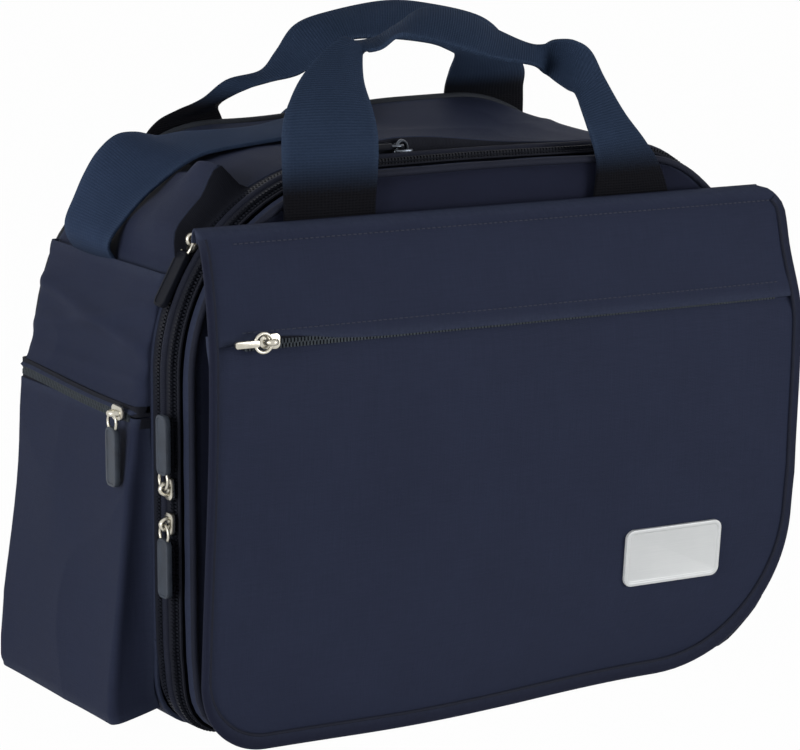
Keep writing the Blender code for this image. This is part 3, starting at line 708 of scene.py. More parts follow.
def outline(share, inset=0.0, top=FRONT_TOP, bottom=RAISED_BOTTOM, rise=SHOULDER):
    """Place and outward direction in X and Z; share is 0 at the bottom middle and goes up the left side."""
    side = -1.0 if share <= 0.5 else 1.0
    flat, low_arc, upright, high_arc, crown = outline_lengths(inset, top, bottom, rise)
    reach = 2 * min(share, 1 - share) * (flat + low_arc + upright + high_arc + crown)
    low = CORNER - inset
    half = HALF_WIDTH - inset
    if reach <= flat:
        return side * reach, bottom + inset, 0.0, -1.0
    reach -= flat
    if reach <= low_arc:
        turn = reach / low
        x = half - low + low * math.sin(turn)
        z = bottom + CORNER - low * math.cos(turn)
        return side * x, z, side * math.sin(turn), -math.cos(turn)
    reach -= low_arc
    if reach <= upright:
        return side * half, bottom + CORNER + reach, side, 0.0
    reach -= upright
    if reach <= high_arc:
        turn = reach / high_arc * math.pi / 2
        wide = SHOULDER - inset
        tall = rise - inset
        x = half - wide + wide * math.cos(turn)
        z = top - rise + tall * math.sin(turn)
        outward = Vector((math.cos(turn) / wide, math.sin(turn) / tall)).normalized()
        return side * x, z, side * outward.x, outward.y
    reach -= high_arc
    return side * (HALF_WIDTH - SHOULDER - reach), top - inset, 0.0, 1.0


def share_at_turn(turn, top, rise):
    """Share of the shell's left shoulder at a turn from upright."""
    lengths = outline_lengths(0.0, top, 0.0, rise)
    return (sum(lengths[:3]) + lengths[3] * turn / (math.pi / 2)) / sum(lengths) / 2


def turn_at_share(share, top, rise, bottom=0.0):
    """Turn from upright in degrees on the nearer shoulder; below it the turn is negative."""
    lengths = outline_lengths(0.0, top, bottom, rise)
    reach = 2 * min(share, 1 - share) * sum(lengths) - sum(lengths[:3])
    return reach / lengths[3] * 90


def share_at_height(z, top, rise):
    """Share of the shell's left upright at height z."""
    lengths = outline_lengths(0.0, top, 0.0, rise)
    return (sum(lengths[:2]) + z - CORNER) / sum(lengths) / 2


def half_width(z, inset, top, bottom, rise=SHOULDER):
    """Half the outline's width at height z."""
    low = CORNER - inset
    wide = SHOULDER - inset
    tall = rise - inset
    half = HALF_WIDTH - inset
    below = bottom + CORNER - z
    above = z - (top - rise)
    if below > 0:
        return half - low + math.sqrt(max(low * low - below * below, 0.0))
    if above > 0:
        return half - wide + wide * math.sqrt(max(1 - (above / tall) ** 2, 0.0))
    return half


def shell_top(depth):
    """Height of the shell's top and of its shoulders at a depth from 0, front, to 1, back."""
    return mix(FRONT_TOP, BACK_TOP, depth), mix(SHOULDER, BACK_RISE, depth)


def ring_line(count, y, inset, bottom=RAISED_BOTTOM, top=FRONT_TOP, rise=SHOULDER):
    """Places and outward directions right round the bag, closed."""
    points = []
    outwards = []
    for i in range(count):
        x, z, out_x, out_z = outline(i / count, inset, top, bottom, rise)
        points.append(settle(Vector((x, y, z))))
        outwards.append(Vector((out_x, 0, out_z)))
    return points, outwards


def ring_sheet(name, count, rows, place_ring, width):
    """A strip that runs right round the bag and closes at the bottom middle."""
    length = 2 * sum(outline_lengths(0.0, FRONT_TOP, RAISED_BOTTOM))
    obj = cloth(name, count, rows, place_ring, (length, width))
    weld = obj.modifiers.new("weld", "WELD")
    weld.merge_threshold = 0.01 * MM
    return obj


# Body shell


def shoulder_ear(share, turn):
    """Height of the ear that the shell's front edge makes on the left shoulder."""
    if share > 0.5:
        return 0.0
    ear = 14.5 * MM * ease((turn - 28) / 12) + 7.5 * MM * ease((turn - 48) / 9)
    return ear * (1 - ease((turn - 57) / 4))


def top_gape(x, z):
    """Height of the shell's front edge over the top slider, where the zip gapes."""
    offset = x + 42 * MM
    reach = 38 * MM if offset < 0 else 60 * MM
    return 8.5 * MM * math.exp(-((offset / reach) ** 2)) * ease((z - 285 * MM) / (15 * MM))


def shell_puff(share, depth, x, z):
    """How far the stuffed shell stands out of its seams, and how far its front edge leans forward."""
    turn = turn_at_share(share, *shell_top(depth))
    sag = -4.6 * MM * math.sin(math.pi * depth) * ease((turn - 62) / 22)
    beside_strap = mix(0.5, 0.2, ease((turn - 36) / 18))
    ear = shoulder_ear(share, turn) * mix(1.0, beside_strap, ease((depth - 0.05) / 0.34))
    ear *= 1 - ease((depth - 0.45) / 0.2)
    gape = top_gape(x, z) * (1 - ease(depth / 0.35))
    return sag + ear + gape, LIP_LEAN * (ear + gape) * (1 - ease(depth / 0.12))


def shell_place(share, depth):
    y = mix(SHELL_FRONT_Y, SHELL_REAR_Y, depth)
    top, rise = shell_top(depth)
    x, z, out_x, out_z = outline(share, 0.0, top, 0.0, rise)
    puff, lean = shell_puff(share, depth, x, z)
    point = Vector((x, y - lean, z))
    puff += 1.2 * MM * crease(point, 60 * MM, 3.1) * math.sin(math.pi * depth) * ease((z - 0.05) / 0.1)
    return settle(point + Vector((out_x, 0, out_z)) * puff)


def shell_strip(name, first, last, columns, rows, node, material):
    """A strip of the shell between two shares of the outline, which depend on the depth."""

    def place(u, v):
        depth = v ** 1.5
        return shell_place(mix(first(depth), last(depth), u) % 1.0, depth)

    ring = 2 * sum(outline_lengths(0.0, FRONT_TOP, 0.0))
    size = (ring * abs(last(0.0) - first(0.0)), SHELL_REAR_Y - SHELL_FRONT_Y)
    obj = cloth(name, columns, rows, place, size)
    thicken(obj, 2.6 * MM, edge=0.6 * MM)
    return add_piece(obj, "bag_shell", material, "navy_cloth", node)


def build_shell():
    side_low = CORNER + 5 * MM

    def low_left(depth):
        return share_at_height(side_low, *shell_top(depth))

    def seam_left(depth):
        return share_at_turn(SEAM_TURN, *shell_top(depth))

    def low_right(depth):
        return 1 - low_left(depth)

    def seam_right(depth):
        return 1 - seam_left(depth)

    def below_left(depth):
        return 1 + low_left(depth)

    shell_strip("left_side_cloth", low_left, seam_left, 40, 36, "left_side_panel", NAVY)
    shell_strip("right_side_cloth", seam_right, low_right, 40, 36, "right_side_panel", NAVY)
    shell_strip("gusset_cloth", seam_left, seam_right, 240, 60, "top_gusset", NAVY)
    shell_strip("base_cloth", low_right, below_left, 110, 30, "bottom_panel", NAVY)
    build_back()


def flat_cloth(name, y, inset, top, bottom, puff, columns=64, rows=56, rise=SHOULDER):
    """A wall cut to the bag's outline; puff(x, z) lifts it along -Y."""
    low = bottom + inset
    high = top - inset

    def place(u, v):
        z = mix(low, high, 0.5 - 0.5 * math.cos(math.pi * v))
        x = (2 * u - 1) * half_width(z, inset, top, bottom, rise)
        return settle(Vector((x, y - puff(x, z), z)))

    return cloth(name, columns, rows, place, (2 * HALF_WIDTH, high - low))


def build_back():
    def puff(x, z):
        point = Vector((x, 0, z))
        edge = min(HALF_WIDTH - abs(x), z, BACK_TOP - z)
        return -1.6 * MM * ease(edge / (16 * MM)) - 0.4 * MM * ripple(point, 70 * MM, 5.0)

    back = flat_cloth("back_cloth", BACK_PANEL_Y, 2.6 * MM, BACK_TOP, 0.0, puff, rise=BACK_RISE)
    thicken(back, 3.6 * MM, edge=0.8 * MM)
    add_piece(back, "bag_shell", NAVY, "navy_cloth", "back_panel")
    ring, _ = ring_line(180, BACK_PANEL_Y, 2.2 * MM, 0.0, BACK_TOP, BACK_RISE)
    for point in ring:
        point.z += 2.4 * MM * ease((point.z - 265 * MM) / (35 * MM))
    piping = cord_tube("back_piping_cord", ring, 2.3 * MM)
    add_piece(piping, "bag_shell", RIM, "dark_trim", "back_piping")


# Zips round the bag


def no_lift(share, x, z):
    return 0.0


def shell_lift(share, x, z):
    """How far the shell's front edge pulls its zip tape up."""
    turn = turn_at_share(share, FRONT_TOP, SHOULDER, RAISED_BOTTOM)
    return shoulder_ear(share, turn) + top_gape(x, z)


def ring_tape(name, zip_y, towards, inset, body, node, lift=no_lift):
    """One zip half: a woven tape that dips at the teeth and is pulled up at its far edge, and its row of teeth."""
    near = zip_y + towards * TAPE_GAP
    far = near + towards * TAPE_WIDTH

    def place(u, v):
        x, z, out_x, out_z = outline(u % 1.0, inset)
        pull = lift(u % 1.0, x, z) * (1 - v) ** 4
        y = mix(far, near, v) - LIP_LEAN * pull
        return settle(Vector((x, y, z))) + Vector((out_x, 0, out_z)) * (pull - 0.7 * MM * ease(v))

    tape = ring_sheet(name + "_tape_cloth", 300, 10, place, TAPE_WIDTH)
    thicken(tape, 0.9 * MM)
    add_piece(tape, body, TAPE, "zip_tape", node)
    points, outwards = ring_line(360, near + towards * 0.9 * MM, inset + 0.4 * MM)
    places = spaced(points + points[:1], outwards, TOOTH_PITCH, TOOTH_PITCH * (0.25 + 0.25 * towards))
    teeth = repeat_shape(name + "_teeth", TOOTH, places)
    add_piece(teeth, body, TEETH, "zip_tape")


def build_ring_zips():
    ring_tape("main_rear", MAIN_ZIP_Y, 1, 0.6 * MM, "bag_shell", "main_zip_rear_tape", shell_lift)
    ring_tape("main_front", MAIN_ZIP_Y, -1, 0.6 * MM, "middle_section", "main_zip_front_tape")
    ring_tape("front_rear", FRONT_ZIP_Y, 1, 0.6 * MM, "middle_section", "front_zip_rear_tape")
    ring_tape("front_front", FRONT_ZIP_Y, -1, 2.5 * MM, "front_section", "front_zip_front_tape")


# Middle and front sections


def build_middle():
    ring, _ = ring_line(180, MID_PIPING_Y, 1.0 * MM)
    piping = cord_tube("mid_piping_cord", ring, 2.5 * MM)
    add_piece(piping, "middle_section", TRIM, "navy_cloth", "mid_piping")

    def puff(x, z):
        return 0.5 * MM * ripple(Vector((x, 0, z)), 80 * MM, 7.0)

    divider = flat_cloth("divider_cloth", MID_PIPING_Y, 3.3 * MM, FRONT_TOP, RAISED_BOTTOM, puff, 40, 36)
    thicken(divider, 2.0 * MM, Vector((0, 1, 0.15)), edge=0.5 * MM)
    add_piece(divider, "middle_section", LINING, "navy_cloth", "divider_panel")


def build_front():
    inset = FRONT_INSET

    def band_place(u, v):
        y = mix(BAND_REAR_Y + 1.2 * MM, BAND_FRONT_Y - 0.2 * MM, v)
        x, z, out_x, out_z = outline(u % 1.0, inset)
        point = Vector((x, y, z))
        roll = 1.6 * MM * math.sin(math.pi * v) ** 0.6 - 1.0 * MM
        roll += 0.4 * MM * ripple(point, 25 * MM, 2.0)
        return settle(point) + Vector((out_x, 0, out_z)) * roll

    band = ring_sheet("front_band_cloth", 240, 8, band_place, 8 * MM)
    thicken(band, 1.6 * MM)
    add_piece(band, "front_section", NAVY, "navy_cloth", "front_band")
    ring, _ = ring_line(180, FRONT_PANEL_Y, inset + 0.9 * MM)
    piping = cord_tube("front_piping_cord", ring, 2.0 * MM)
    add_piece(piping, "front_section", TRIM, "dark_trim", "front_piping")

    def puff(x, z):
        point = Vector((x, 0, z))
        edge = min(half_width(z, 0.0, FRONT_TOP, 0.0) - abs(x), FRONT_TOP - z)
        return 0.4 * MM * ripple(point, 60 * MM, 9.0) - 1.2 * MM * (1 - ease(edge / (18 * MM)))

    front = flat_cloth("front_cloth", FRONT_PANEL_Y, inset + 2.9 * MM, FRONT_TOP, RAISED_BOTTOM, puff)
    thicken(front, 2.4 * MM, edge=0.6 * MM)
    # The darker navy paints shade into the front panel above the flap.
    add_piece(front, "front_section", NAVY_SHADED, "navy_cloth", "front_panel")


# Flap


def flap_y(z):
    """Depth of the flap's middle surface: it bows forward most at the zip."""
    down = min(max((FLAP_TOP - z) / (FLAP_TOP - FLAP_BOTTOM), 0.0), 1.0)
    return FLAP_EDGE_Y - FLAP_BOW * math.sin(math.pi * down ** FLAP_BOW_RISE)


def flap_reach(z, side):
    """Half width of the flap at height z, with its own round corner on each side."""
    corner = FLAP_LEFT_CORNER if side < 0 else FLAP_RIGHT_CORNER
    below = FLAP_BOTTOM + corner - z
    reach = FLAP_HALF_WIDTH
    if below > 0:
        reach += math.sqrt(max(corner * corner - below * below, 0.0)) - corner
    if side > 0:
        reach -= 8 * MM * ease((z - 200 * MM) / (50 * MM))
        top_round = 14 * MM
        above = max(z - (FLAP_TOP - top_round), 0.0)
        reach += math.sqrt(max(top_round * top_round - above * above, 0.0)) - top_round
    return reach


def flap_flare(x, z):
    """Share by which the flap's lower left part stands forward of the bag."""
    return ease((FLAP_BOTTOM + 110 * MM - z) / (110 * MM)) * ease((110 * MM - x) / (190 * MM))


def flap_place(x, z, lift):
    """A place on the flap's middle surface, lifted towards the front, with its slack and dents."""
    point = Vector((x, 0, z))
    slack = 1.6 * MM * ripple(point, 130 * MM, 11.0)
    slack += 0.9 * MM * crease(Vector((x + 0.6 * z, 0, z)), 110 * MM, 4.2)
    slack *= ease((FLAP_TOP - z) / (40 * MM))
    flare = flap_flare(x, z)
    left = ease((60 * MM - x) / (200 * MM))
    return Vector((x - 8 * MM * flare * left, flap_y(z) - lift - slack - 17 * MM * flare, z - 1.6 * MM * flare))


def flap_panel(name, low, high, lift_at, rows, row_share, lip=None):
    """A part of the flap between two heights; lip(x) raises its lower edge."""

    def place(u, v):
        z = mix(low, high, row_share(v))
        x = mix(-flap_reach(z, -1), flap_reach(z, 1), u)
        if lip:
            z += lip(x) * (1 - row_share(v)) ** 3
        return flap_place(x, z, lift_at(z))

    obj = cloth(name, 110, rows, place, (2 * FLAP_HALF_WIDTH, high - low))
    thicken(obj, 2 * FLAP_HALF_THICKNESS - 0.6 * MM, Vector((0, 1, 0.15)), 0.0, 1.0 * MM)
    return obj


def build_flap():
    tuck = 14 * MM

    def lower_lift(z):
        return -2.6 * MM * ease((z - (FLAP_ZIP_Z - tuck)) / tuck)

    def upper_lift(z):
        return 0.6 * MM * ease((FLAP_ZIP_Z + tuck - z) / tuck)

    def lip(x):
        """The lip gapes at the slider and closes to the right."""
        return 5.5 * MM * math.exp(-((x + 150 * MM) / (34 * MM)) ** 2)

    def low_rows(v):
        return 1 - math.cos(0.5 * math.pi * v)

    def even_rows(v):
        return v

    lower = flap_panel("flap_lower_cloth", FLAP_BOTTOM, FLAP_ZIP_Z + 4 * MM, lower_lift, 90, low_rows)
    add_piece(lower, "front_flap", NAVY, "navy_cloth", "flap_panel")
    upper = flap_panel("flap_upper_cloth", FLAP_ZIP_Z - 4 * MM, FLAP_TOP, upper_lift, 36, even_rows, lip)
    add_piece(upper, "front_flap", NAVY, "navy_cloth", "flap_panel")
    build_flap_edge()
    build_flap_zip()
    build_plate()


def flap_edge_line():
    """Round the flap's free edge: down the left side, along the bottom, up the right side."""
    points = []
    for side, corner in ((-1, FLAP_LEFT_CORNER), (1, FLAP_RIGHT_CORNER)):
        straight = FLAP_HALF_WIDTH - corner
        half = [(side * straight * i / 40, FLAP_BOTTOM) for i in range(40)]
        for i in range(20):
            turn = math.radians(90 * i / 20)
            x = straight + corner * math.sin(turn)
            half.append((side * x, FLAP_BOTTOM + corner * (1 - math.cos(turn))))
        for i in range(41):
            z = mix(FLAP_BOTTOM + corner, FLAP_TOP - 4 * MM, i / 40)
            half.append((side * flap_reach(z, side), z))
        if side < 0:
            half = half[:0:-1]
        points += half
    return points


def binding_width(outward_x, outward_z):
    """Width of the binding on the flap's face: widest along the bottom, least on the left."""
    return (2.4 + 4.6 * max(0.0, -outward_z) + 2.6 * max(0.0, outward_x)) * MM


def build_flap_edge():
    """The binding is folded round the free edge and sewn along a fine cord."""
    line = flap_edge_line()
    rows = len(line) - 1
    outwards = []
    for i in range(rows + 1):
        before_x, before_z = line[max(i - 1, 0)]
        after_x, after_z = line[min(i + 1, rows)]
        outwards.append(Vector((before_z - after_z, after_x - before_x)).normalized() * -1)
    section = ((1.0, 2.1), (0.96, 2.7), (0.5, 2.8), (0.1, 2.3), (-0.12, 0.9), (-0.12, -0.9), (0.1, -2.3), (1.0, -2.3))

    def place(u, v):
        i = min(round(v * rows), rows)
        outward = outwards[i]
        inward, lift = section[round(u * (len(section) - 1))]
        reach = inward * binding_width(*outward)
        x, z = line[i]
        return flap_place(x - outward.x * reach, z - outward.y * reach, lift * MM)

    binding = cloth("flap_binding_cloth", len(section) - 1, rows, place, (18 * MM, 0.9))
    thicken(binding, 0.6 * MM, Vector((0, FLAP_EDGE_Y, 0.15)))
    # The darker navy is the binding's own darker cloth, with painted shade on the boxed edge.
    add_piece(binding, "front_flap", NAVY_SHADED, "dark_trim", "flap_binding")
    seam = []
    for (x, z), outward in zip(line, outwards):
        reach = binding_width(*outward) + 0.5 * MM
        seam.append(flap_place(x - outward.x * reach, z - outward.y * reach, 2.1 * MM))
    cord = cord_tube("flap_seam_cord", seam, 0.9 * MM, closed=False)
    add_piece(cord, "front_flap", TRIM, "dark_trim")

    def fold_place(u, v):
        x = mix(-FLAP_HALF_WIDTH + 1 * MM, flap_reach(FLAP_TOP - 7 * MM, 1) - 9 * MM, u)
        turn = math.pi * v
        reach = 0.5 * (FRONT_PANEL_Y - 1.7 * MM - FLAP_EDGE_Y)
        y = FLAP_EDGE_Y - 1.2 * MM + reach * (1 - math.cos(turn))
        return Vector((x, y, FLAP_TOP - 7 * MM + 8 * MM * math.sin(turn)))

    fold = cloth("flap_fold_cloth", 80, 12, fold_place, (2 * FLAP_HALF_WIDTH, 24 * MM))
    thicken(fold, 1.4 * MM, Vector((0, FLAP_EDGE_Y, 0.2)), edge=0.4 * MM)
    finish(fold, NAVY, "navy_cloth")
    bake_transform(fold)


def build_flap_zip():
    half = FLAP_ZIP_HALF_LENGTH

    def tape_place(u, v):
        x = mix(-half, half, u)
        z = FLAP_ZIP_Z + mix(-4.5, 3.5, v) * MM
        return flap_place(x, z, 0.6 * MM)

    tape = cloth("flap_zip_cloth", 80, 4, tape_place, (2 * half, 8 * MM))
    thicken(tape, 0.8 * MM, Vector((0, 1, 0.15)), 0.0)
    add_piece(tape, "front_flap", TAPE, "zip_tape", "flap_zip_tape")
    for word, step, start in (("upper", 1.1, 0.0), ("lower", -1.1, 0.5)):
        z = FLAP_ZIP_Z - 2.2 * MM + step * MM
        points = [flap_place(mix(-half, half, i / 120), z, 1.3 * MM) for i in range(121)]
        outwards = [Vector((0, -1, 0))] * 121
        places = spaced(points, outwards, TOOTH_PITCH, start * TOOTH_PITCH)
        teeth = repeat_shape(f"flap_zip_{word}_teeth", TOOTH, places)
        add_piece(teeth, "front_flap", COIL, "zip_tape")
    for word, z in (("lip", FLAP_ZIP_Z + 5 * MM), ("hem", FLAP_TOP - 7 * MM)):
        points = [flap_place(mix(-half, half, i / 160), z, FLAP_HALF_THICKNESS + 0.4 * MM) for i in range(161)]
        stitch_row(f"flap_{word}_stitches", points, [Vector((0, -1, 0))] * 161, "front_flap")


def build_plate():
    """The blank plate: a rounded pad with a raised rim, laid on the flap."""
    deselect()
    bpy.ops.mesh.primitive_cube_add(size=1)
    plate = bpy.context.object
    plate.name = "blank_plate"
    plate.data.transform(Matrix.Diagonal((*PLATE_SIZE, 2.2 * MM, 1.0)))
    bpy.ops.object.mode_set(mode="EDIT")
    bpy.ops.mesh.select_mode(type="EDGE")
    bpy.ops.mesh.select_all(action="DESELECT")
    bpy.ops.object.mode_set(mode="OBJECT")
    for edge in plate.data.edges:
        low, high = (plate.data.vertices[i].co for i in edge.vertices)
        edge.select = abs(low.z - high.z) > 1 * MM
    bpy.ops.object.mode_set(mode="EDIT")
    bpy.ops.mesh.bevel(offset=PLATE_CORNER, segments=6)
    bpy.ops.mesh.select_mode(type="FACE")
    bpy.ops.mesh.select_all(action="DESELECT")
    bpy.ops.object.mode_set(mode="OBJECT")
    for face in plate.data.polygons:
        face.select = face.normal.z > 0.9
    bpy.ops.object.mode_set(mode="EDIT")
    bpy.ops.mesh.inset(thickness=2.0 * MM)
    bpy.ops.mesh.inset(thickness=0.5 * MM, depth=-0.7 * MM)
    bpy.ops.object.mode_set(mode="OBJECT")
    rim = plate.modifiers.new("rim", "BEVEL")
    rim.width = 0.4 * MM
    rim.segments = 2
    rim.limit_method = "ANGLE"
    apply_modifiers(plate)
    x, z = PLATE_CENTRE
    step = 10 * MM
    lean = (flap_place(x, z + step, 0).y - flap_place(x, z - step, 0).y) / (2 * step)
    outward = Vector((0, -1, lean)).normalized()
    place = flap_place(x, z, FLAP_HALF_THICKNESS + 1.0 * MM)
    plate.data.transform(stand(Vector((1, 0, 0)), outward, place))
    smooth(plate, 35)
    add_piece(plate, "front_flap", SILVER, "silver_plate", "label_plate")


# Side pockets


def pocket_out(z, side):
    """Outward place of the pocket's face: straight down from the zip, fuller towards the base on the left."""
    share = (POCKET_ZIP_Z - z) / (POCKET_ZIP_Z - POCKET_BASE_Z)
    fill = 4.5 * MM if side < 0 else -3 * MM
    return mix(POCKET_MOUTH_X, POCKET_BASE_X, min(1.0, 1.12 * share)) - 1.2 * MM + fill * ease(share)


def pocket_root(z, side):
    """Outward place of the seam that joins a pocket to the shell's lower corner, which is squarer on the left."""
    corner = CORNER - 2.4 * CORNER_FILL if side < 0 else CORNER
    below = max(corner - z, 0.0)
    wall = HALF_WIDTH - corner + math.sqrt(max(corner * corner - below * below, 0.0))
    return min(POCKET_ROOT_X, wall + 1 * MM)


def pocket_section(u, depth):
    """Half-box section of a pocket: out along the front, along the face and back in, with small round corners."""
    round_off = min(4.5 * MM, 0.4 * depth)
    face = POCKET_REAR_Y - POCKET_FRONT_Y
    bend = round_off * math.pi / 2
    straight = depth - round_off
    along = face - 2 * round_off
    total = 2 * straight + 2 * bend + along
    reach = min(u, 1 - u) * total
    if reach <= straight:
        out, inward = reach, 0.0
    elif reach <= straight + bend:
        turn = (reach - straight) / round_off
        out = straight + round_off * math.sin(turn)
        inward = round_off * (1 - math.cos(turn))
    else:
        out, inward = depth, round_off + reach - straight - bend
    y = POCKET_FRONT_Y + inward if u <= 0.5 else POCKET_REAR_Y - inward
    return out, y


def pocket_place(side, u, v, high):
    level = mix(high, POCKET_BASE_Z, v)
    depth = pocket_out(level, side) - POCKET_ROOT_X - 2 * MM * ease((v - 0.96) / 0.04)
    out, y = pocket_section(u, depth)
    share = out / depth
    if side > 0:
        empty = ease((90 * MM - level) / (80 * MM)) * ease((POCKET_FRONT_Y + 80 * MM - y) / (80 * MM))
        share *= 1 - 0.9 * empty
    z = level + POCKET_BASE_RISE * (1 - share) * v ** 3
    point = Vector((side * mix(pocket_root(z, side), POCKET_ROOT_X + depth, share), y, z))
    slack = 2.2 * MM * ripple(point, 90 * MM, 13.0 + side) + 1.8 * MM * crease(point, 100 * MM, 6.0 + side)
    slack *= ease(share * 1.4 - 0.4) * math.sin(math.pi * min(max(v, 0.03), 0.97)) ** 0.5
    point.x += side * (slack - 1.6 * MM * math.sin(math.pi * v))
    hollow = 2.5 * MM * math.sin(math.pi * share) * math.sin(math.pi * v)
    point.y += hollow if u <= 0.5 else -hollow
    return point


def build_pocket(word, side):
    high = POCKET_ZIP_Z - 2.2 * MM
    wall_body = word + "_pocket_wall"

    def place(u, v):
        return pocket_place(side, u, v, high)

    def base_place(u, v):
        outer = pocket_place(side, mix(0.14, 0.86, u), 1.0, high)
        inner_z = POCKET_BASE_Z + POCKET_BASE_RISE
        inner = Vector((side * pocket_root(inner_z, side), outer.y, inner_z))
        return inner.lerp(outer, v) + Vector((0, 0, 0.4 * MM))

    pocket = cloth(word + "_pocket_cloth", 150, 70, place, (195 * MM, high - POCKET_BASE_Z))
    base = cloth(word + "_pocket_base", 40, 8, base_place, (146 * MM, 30 * MM))
    middle = Vector((side * 0.19, 0.036, 0.09))
    thicken(pocket, 1.6 * MM, middle, edge=0.5 * MM)
    thicken(base, 1.6 * MM, middle)
    for piece in (pocket, base):
        finish(piece, NAVY, "navy_cloth", word + "_pocket")
        blend_pocket(piece)
    build_pocket_zip(word, side, wall_body)
    build_facing(word, side)


def blend_pocket(piece):
    """Bake the piece's placement into its mesh."""
    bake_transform(piece)


def mouth_rise(y):
    """The pocket's zip rises a little towards the back and sags in between."""
    share = (y - POCKET_FRONT_Y) / (POCKET_REAR_Y - POCKET_FRONT_Y)
    return (mix(-1.8, 2.6, ease(share)) - 1.2 * math.sin(math.pi * share)) * MM


def mouth_place(side, u, z, lift):
    """A place on the band round a pocket's mouth."""
    out, y = pocket_section(u, POCKET_MOUTH_X + lift - POCKET_ROOT_X)
    return Vector((side * (POCKET_ROOT_X + out), y, z + mouth_rise(y)))


def build_pocket_zip(word, side, wall_body):
    halves = (("lower", -1, wall_body), ("upper", 1, "bag_shell"))
    for half, way, body in halves:
        near = POCKET_ZIP_Z + way * 0.4 * MM
        far = POCKET_ZIP_Z + way * 6.0 * MM

        def tape_place(u, v):
            return mouth_place(side, u, mix(near, far, v), -1.6 * MM)

        tape = cloth(f"{word}_pocket_{half}_zip", 90, 4, tape_place, (170 * MM, 5.6 * MM))
        thicken(tape, 0.9 * MM, Vector((side * 0.19, 0.036, 0.17)))
        finish(tape, TAPE, "zip_tape", f"{word}_pocket_{half}_tape")
        points = [mouth_place(side, mix(0.085, 0.915, i / 120), near + way * 0.8 * MM, -0.9 * MM) for i in range(121)]
        outwards = [Vector((side, 0, 0))] * 121
        places = spaced(points, outwards, TOOTH_PITCH, TOOTH_PITCH * (0.25 + 0.25 * way))
        teeth = repeat_shape(f"{word}_pocket_{half}_teeth", TOOTH, places)
        finish(teeth, COIL, "zip_tape")
        for piece in (tape, teeth):
            if body == wall_body:
                blend_pocket(piece)
            else:
                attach(piece, body)


def facing_folds(y, z, side):
    """Slanted folds in the loose cloth above a pocket's zip, over a slow unevenness."""
    slant = Vector((0, 0.55 * y, 1.5 * z + 0.35 * y))
    height = 1.6 * MM * ripple(slant, 30 * MM, 21.0 + side) + 1.5 * MM * crease(slant, 50 * MM, 15.0 + side)
    for level, slope, ridge in FACING_FOLDS:
        offset = z - POCKET_ZIP_Z - level - slope * (y - POCKET_FRONT_Y)
        height += ridge * math.exp(-((offset / (5 * MM)) ** 2))
    return height


def build_facing(word, side):
    """The cloth above a pocket's zip: a ledge over the zip, then close to the side up to the seam."""
    low = POCKET_ZIP_Z + 2.4 * MM
    high = 247 * MM

    def place(u, v):
        z = mix(low, high, v)
        ledge = math.exp(-(z - low) / (7 * MM))
        _, y = pocket_section(u, POCKET_MOUTH_X - POCKET_ROOT_X)
        depth = (y - SHELL_FRONT_Y) / (SHELL_REAR_Y - SHELL_FRONT_Y)
        top, rise = shell_top(depth)
        wall = half_width(z, 0.0, top, 0.0, rise)
        loose = 2.0 * MM + 3.4 * MM * ease((v - 0.8) / 0.2)
        mouth, _ = pocket_section(u, POCKET_MOUTH_X - POCKET_ROOT_X)
        out = mix(wall + loose, POCKET_ROOT_X + mouth, ledge)
        point = Vector((side * out, y, z + mouth_rise(y) * (1 - v)))
        folds = facing_folds(y, z, side)
        point.x += side * folds * math.sin(math.pi * v) ** 0.7 * ease(min(u, 1 - u) / 0.12)
        end = 1 - ease(min(u, 1 - u) / 0.07)
        point.x -= side * end * (out - wall - 0.4 * MM) * (1 - 0.2 * ledge)
        return point

    facing = cloth(word + "_facing_cloth", 90, 44, place, (170 * MM, high - low))
    thicken(facing, 1.6 * MM, edge=0.5 * MM)
    add_piece(facing, "bag_shell", NAVY, "navy_cloth", word + "_pocket_facing")


# Webbing


def smooth_run(values, steps):
    """Values on a smooth curve through the given ones."""
    ends = [2 * values[0] - values[1], *values, 2 * values[-1] - values[-2]]
    run = []
    for a, b, c, d in zip(ends, ends[1:], ends[2:], ends[3:]):
        for i in range(steps):
            t = i / steps
            run.append(0.5 * (2 * b + (c - a) * t + (2 * a - 5 * b + 4 * c - d) * t**2
                              + (3 * b - a - 3 * c + d) * t**3))
    run.append(values[-1])
    return run


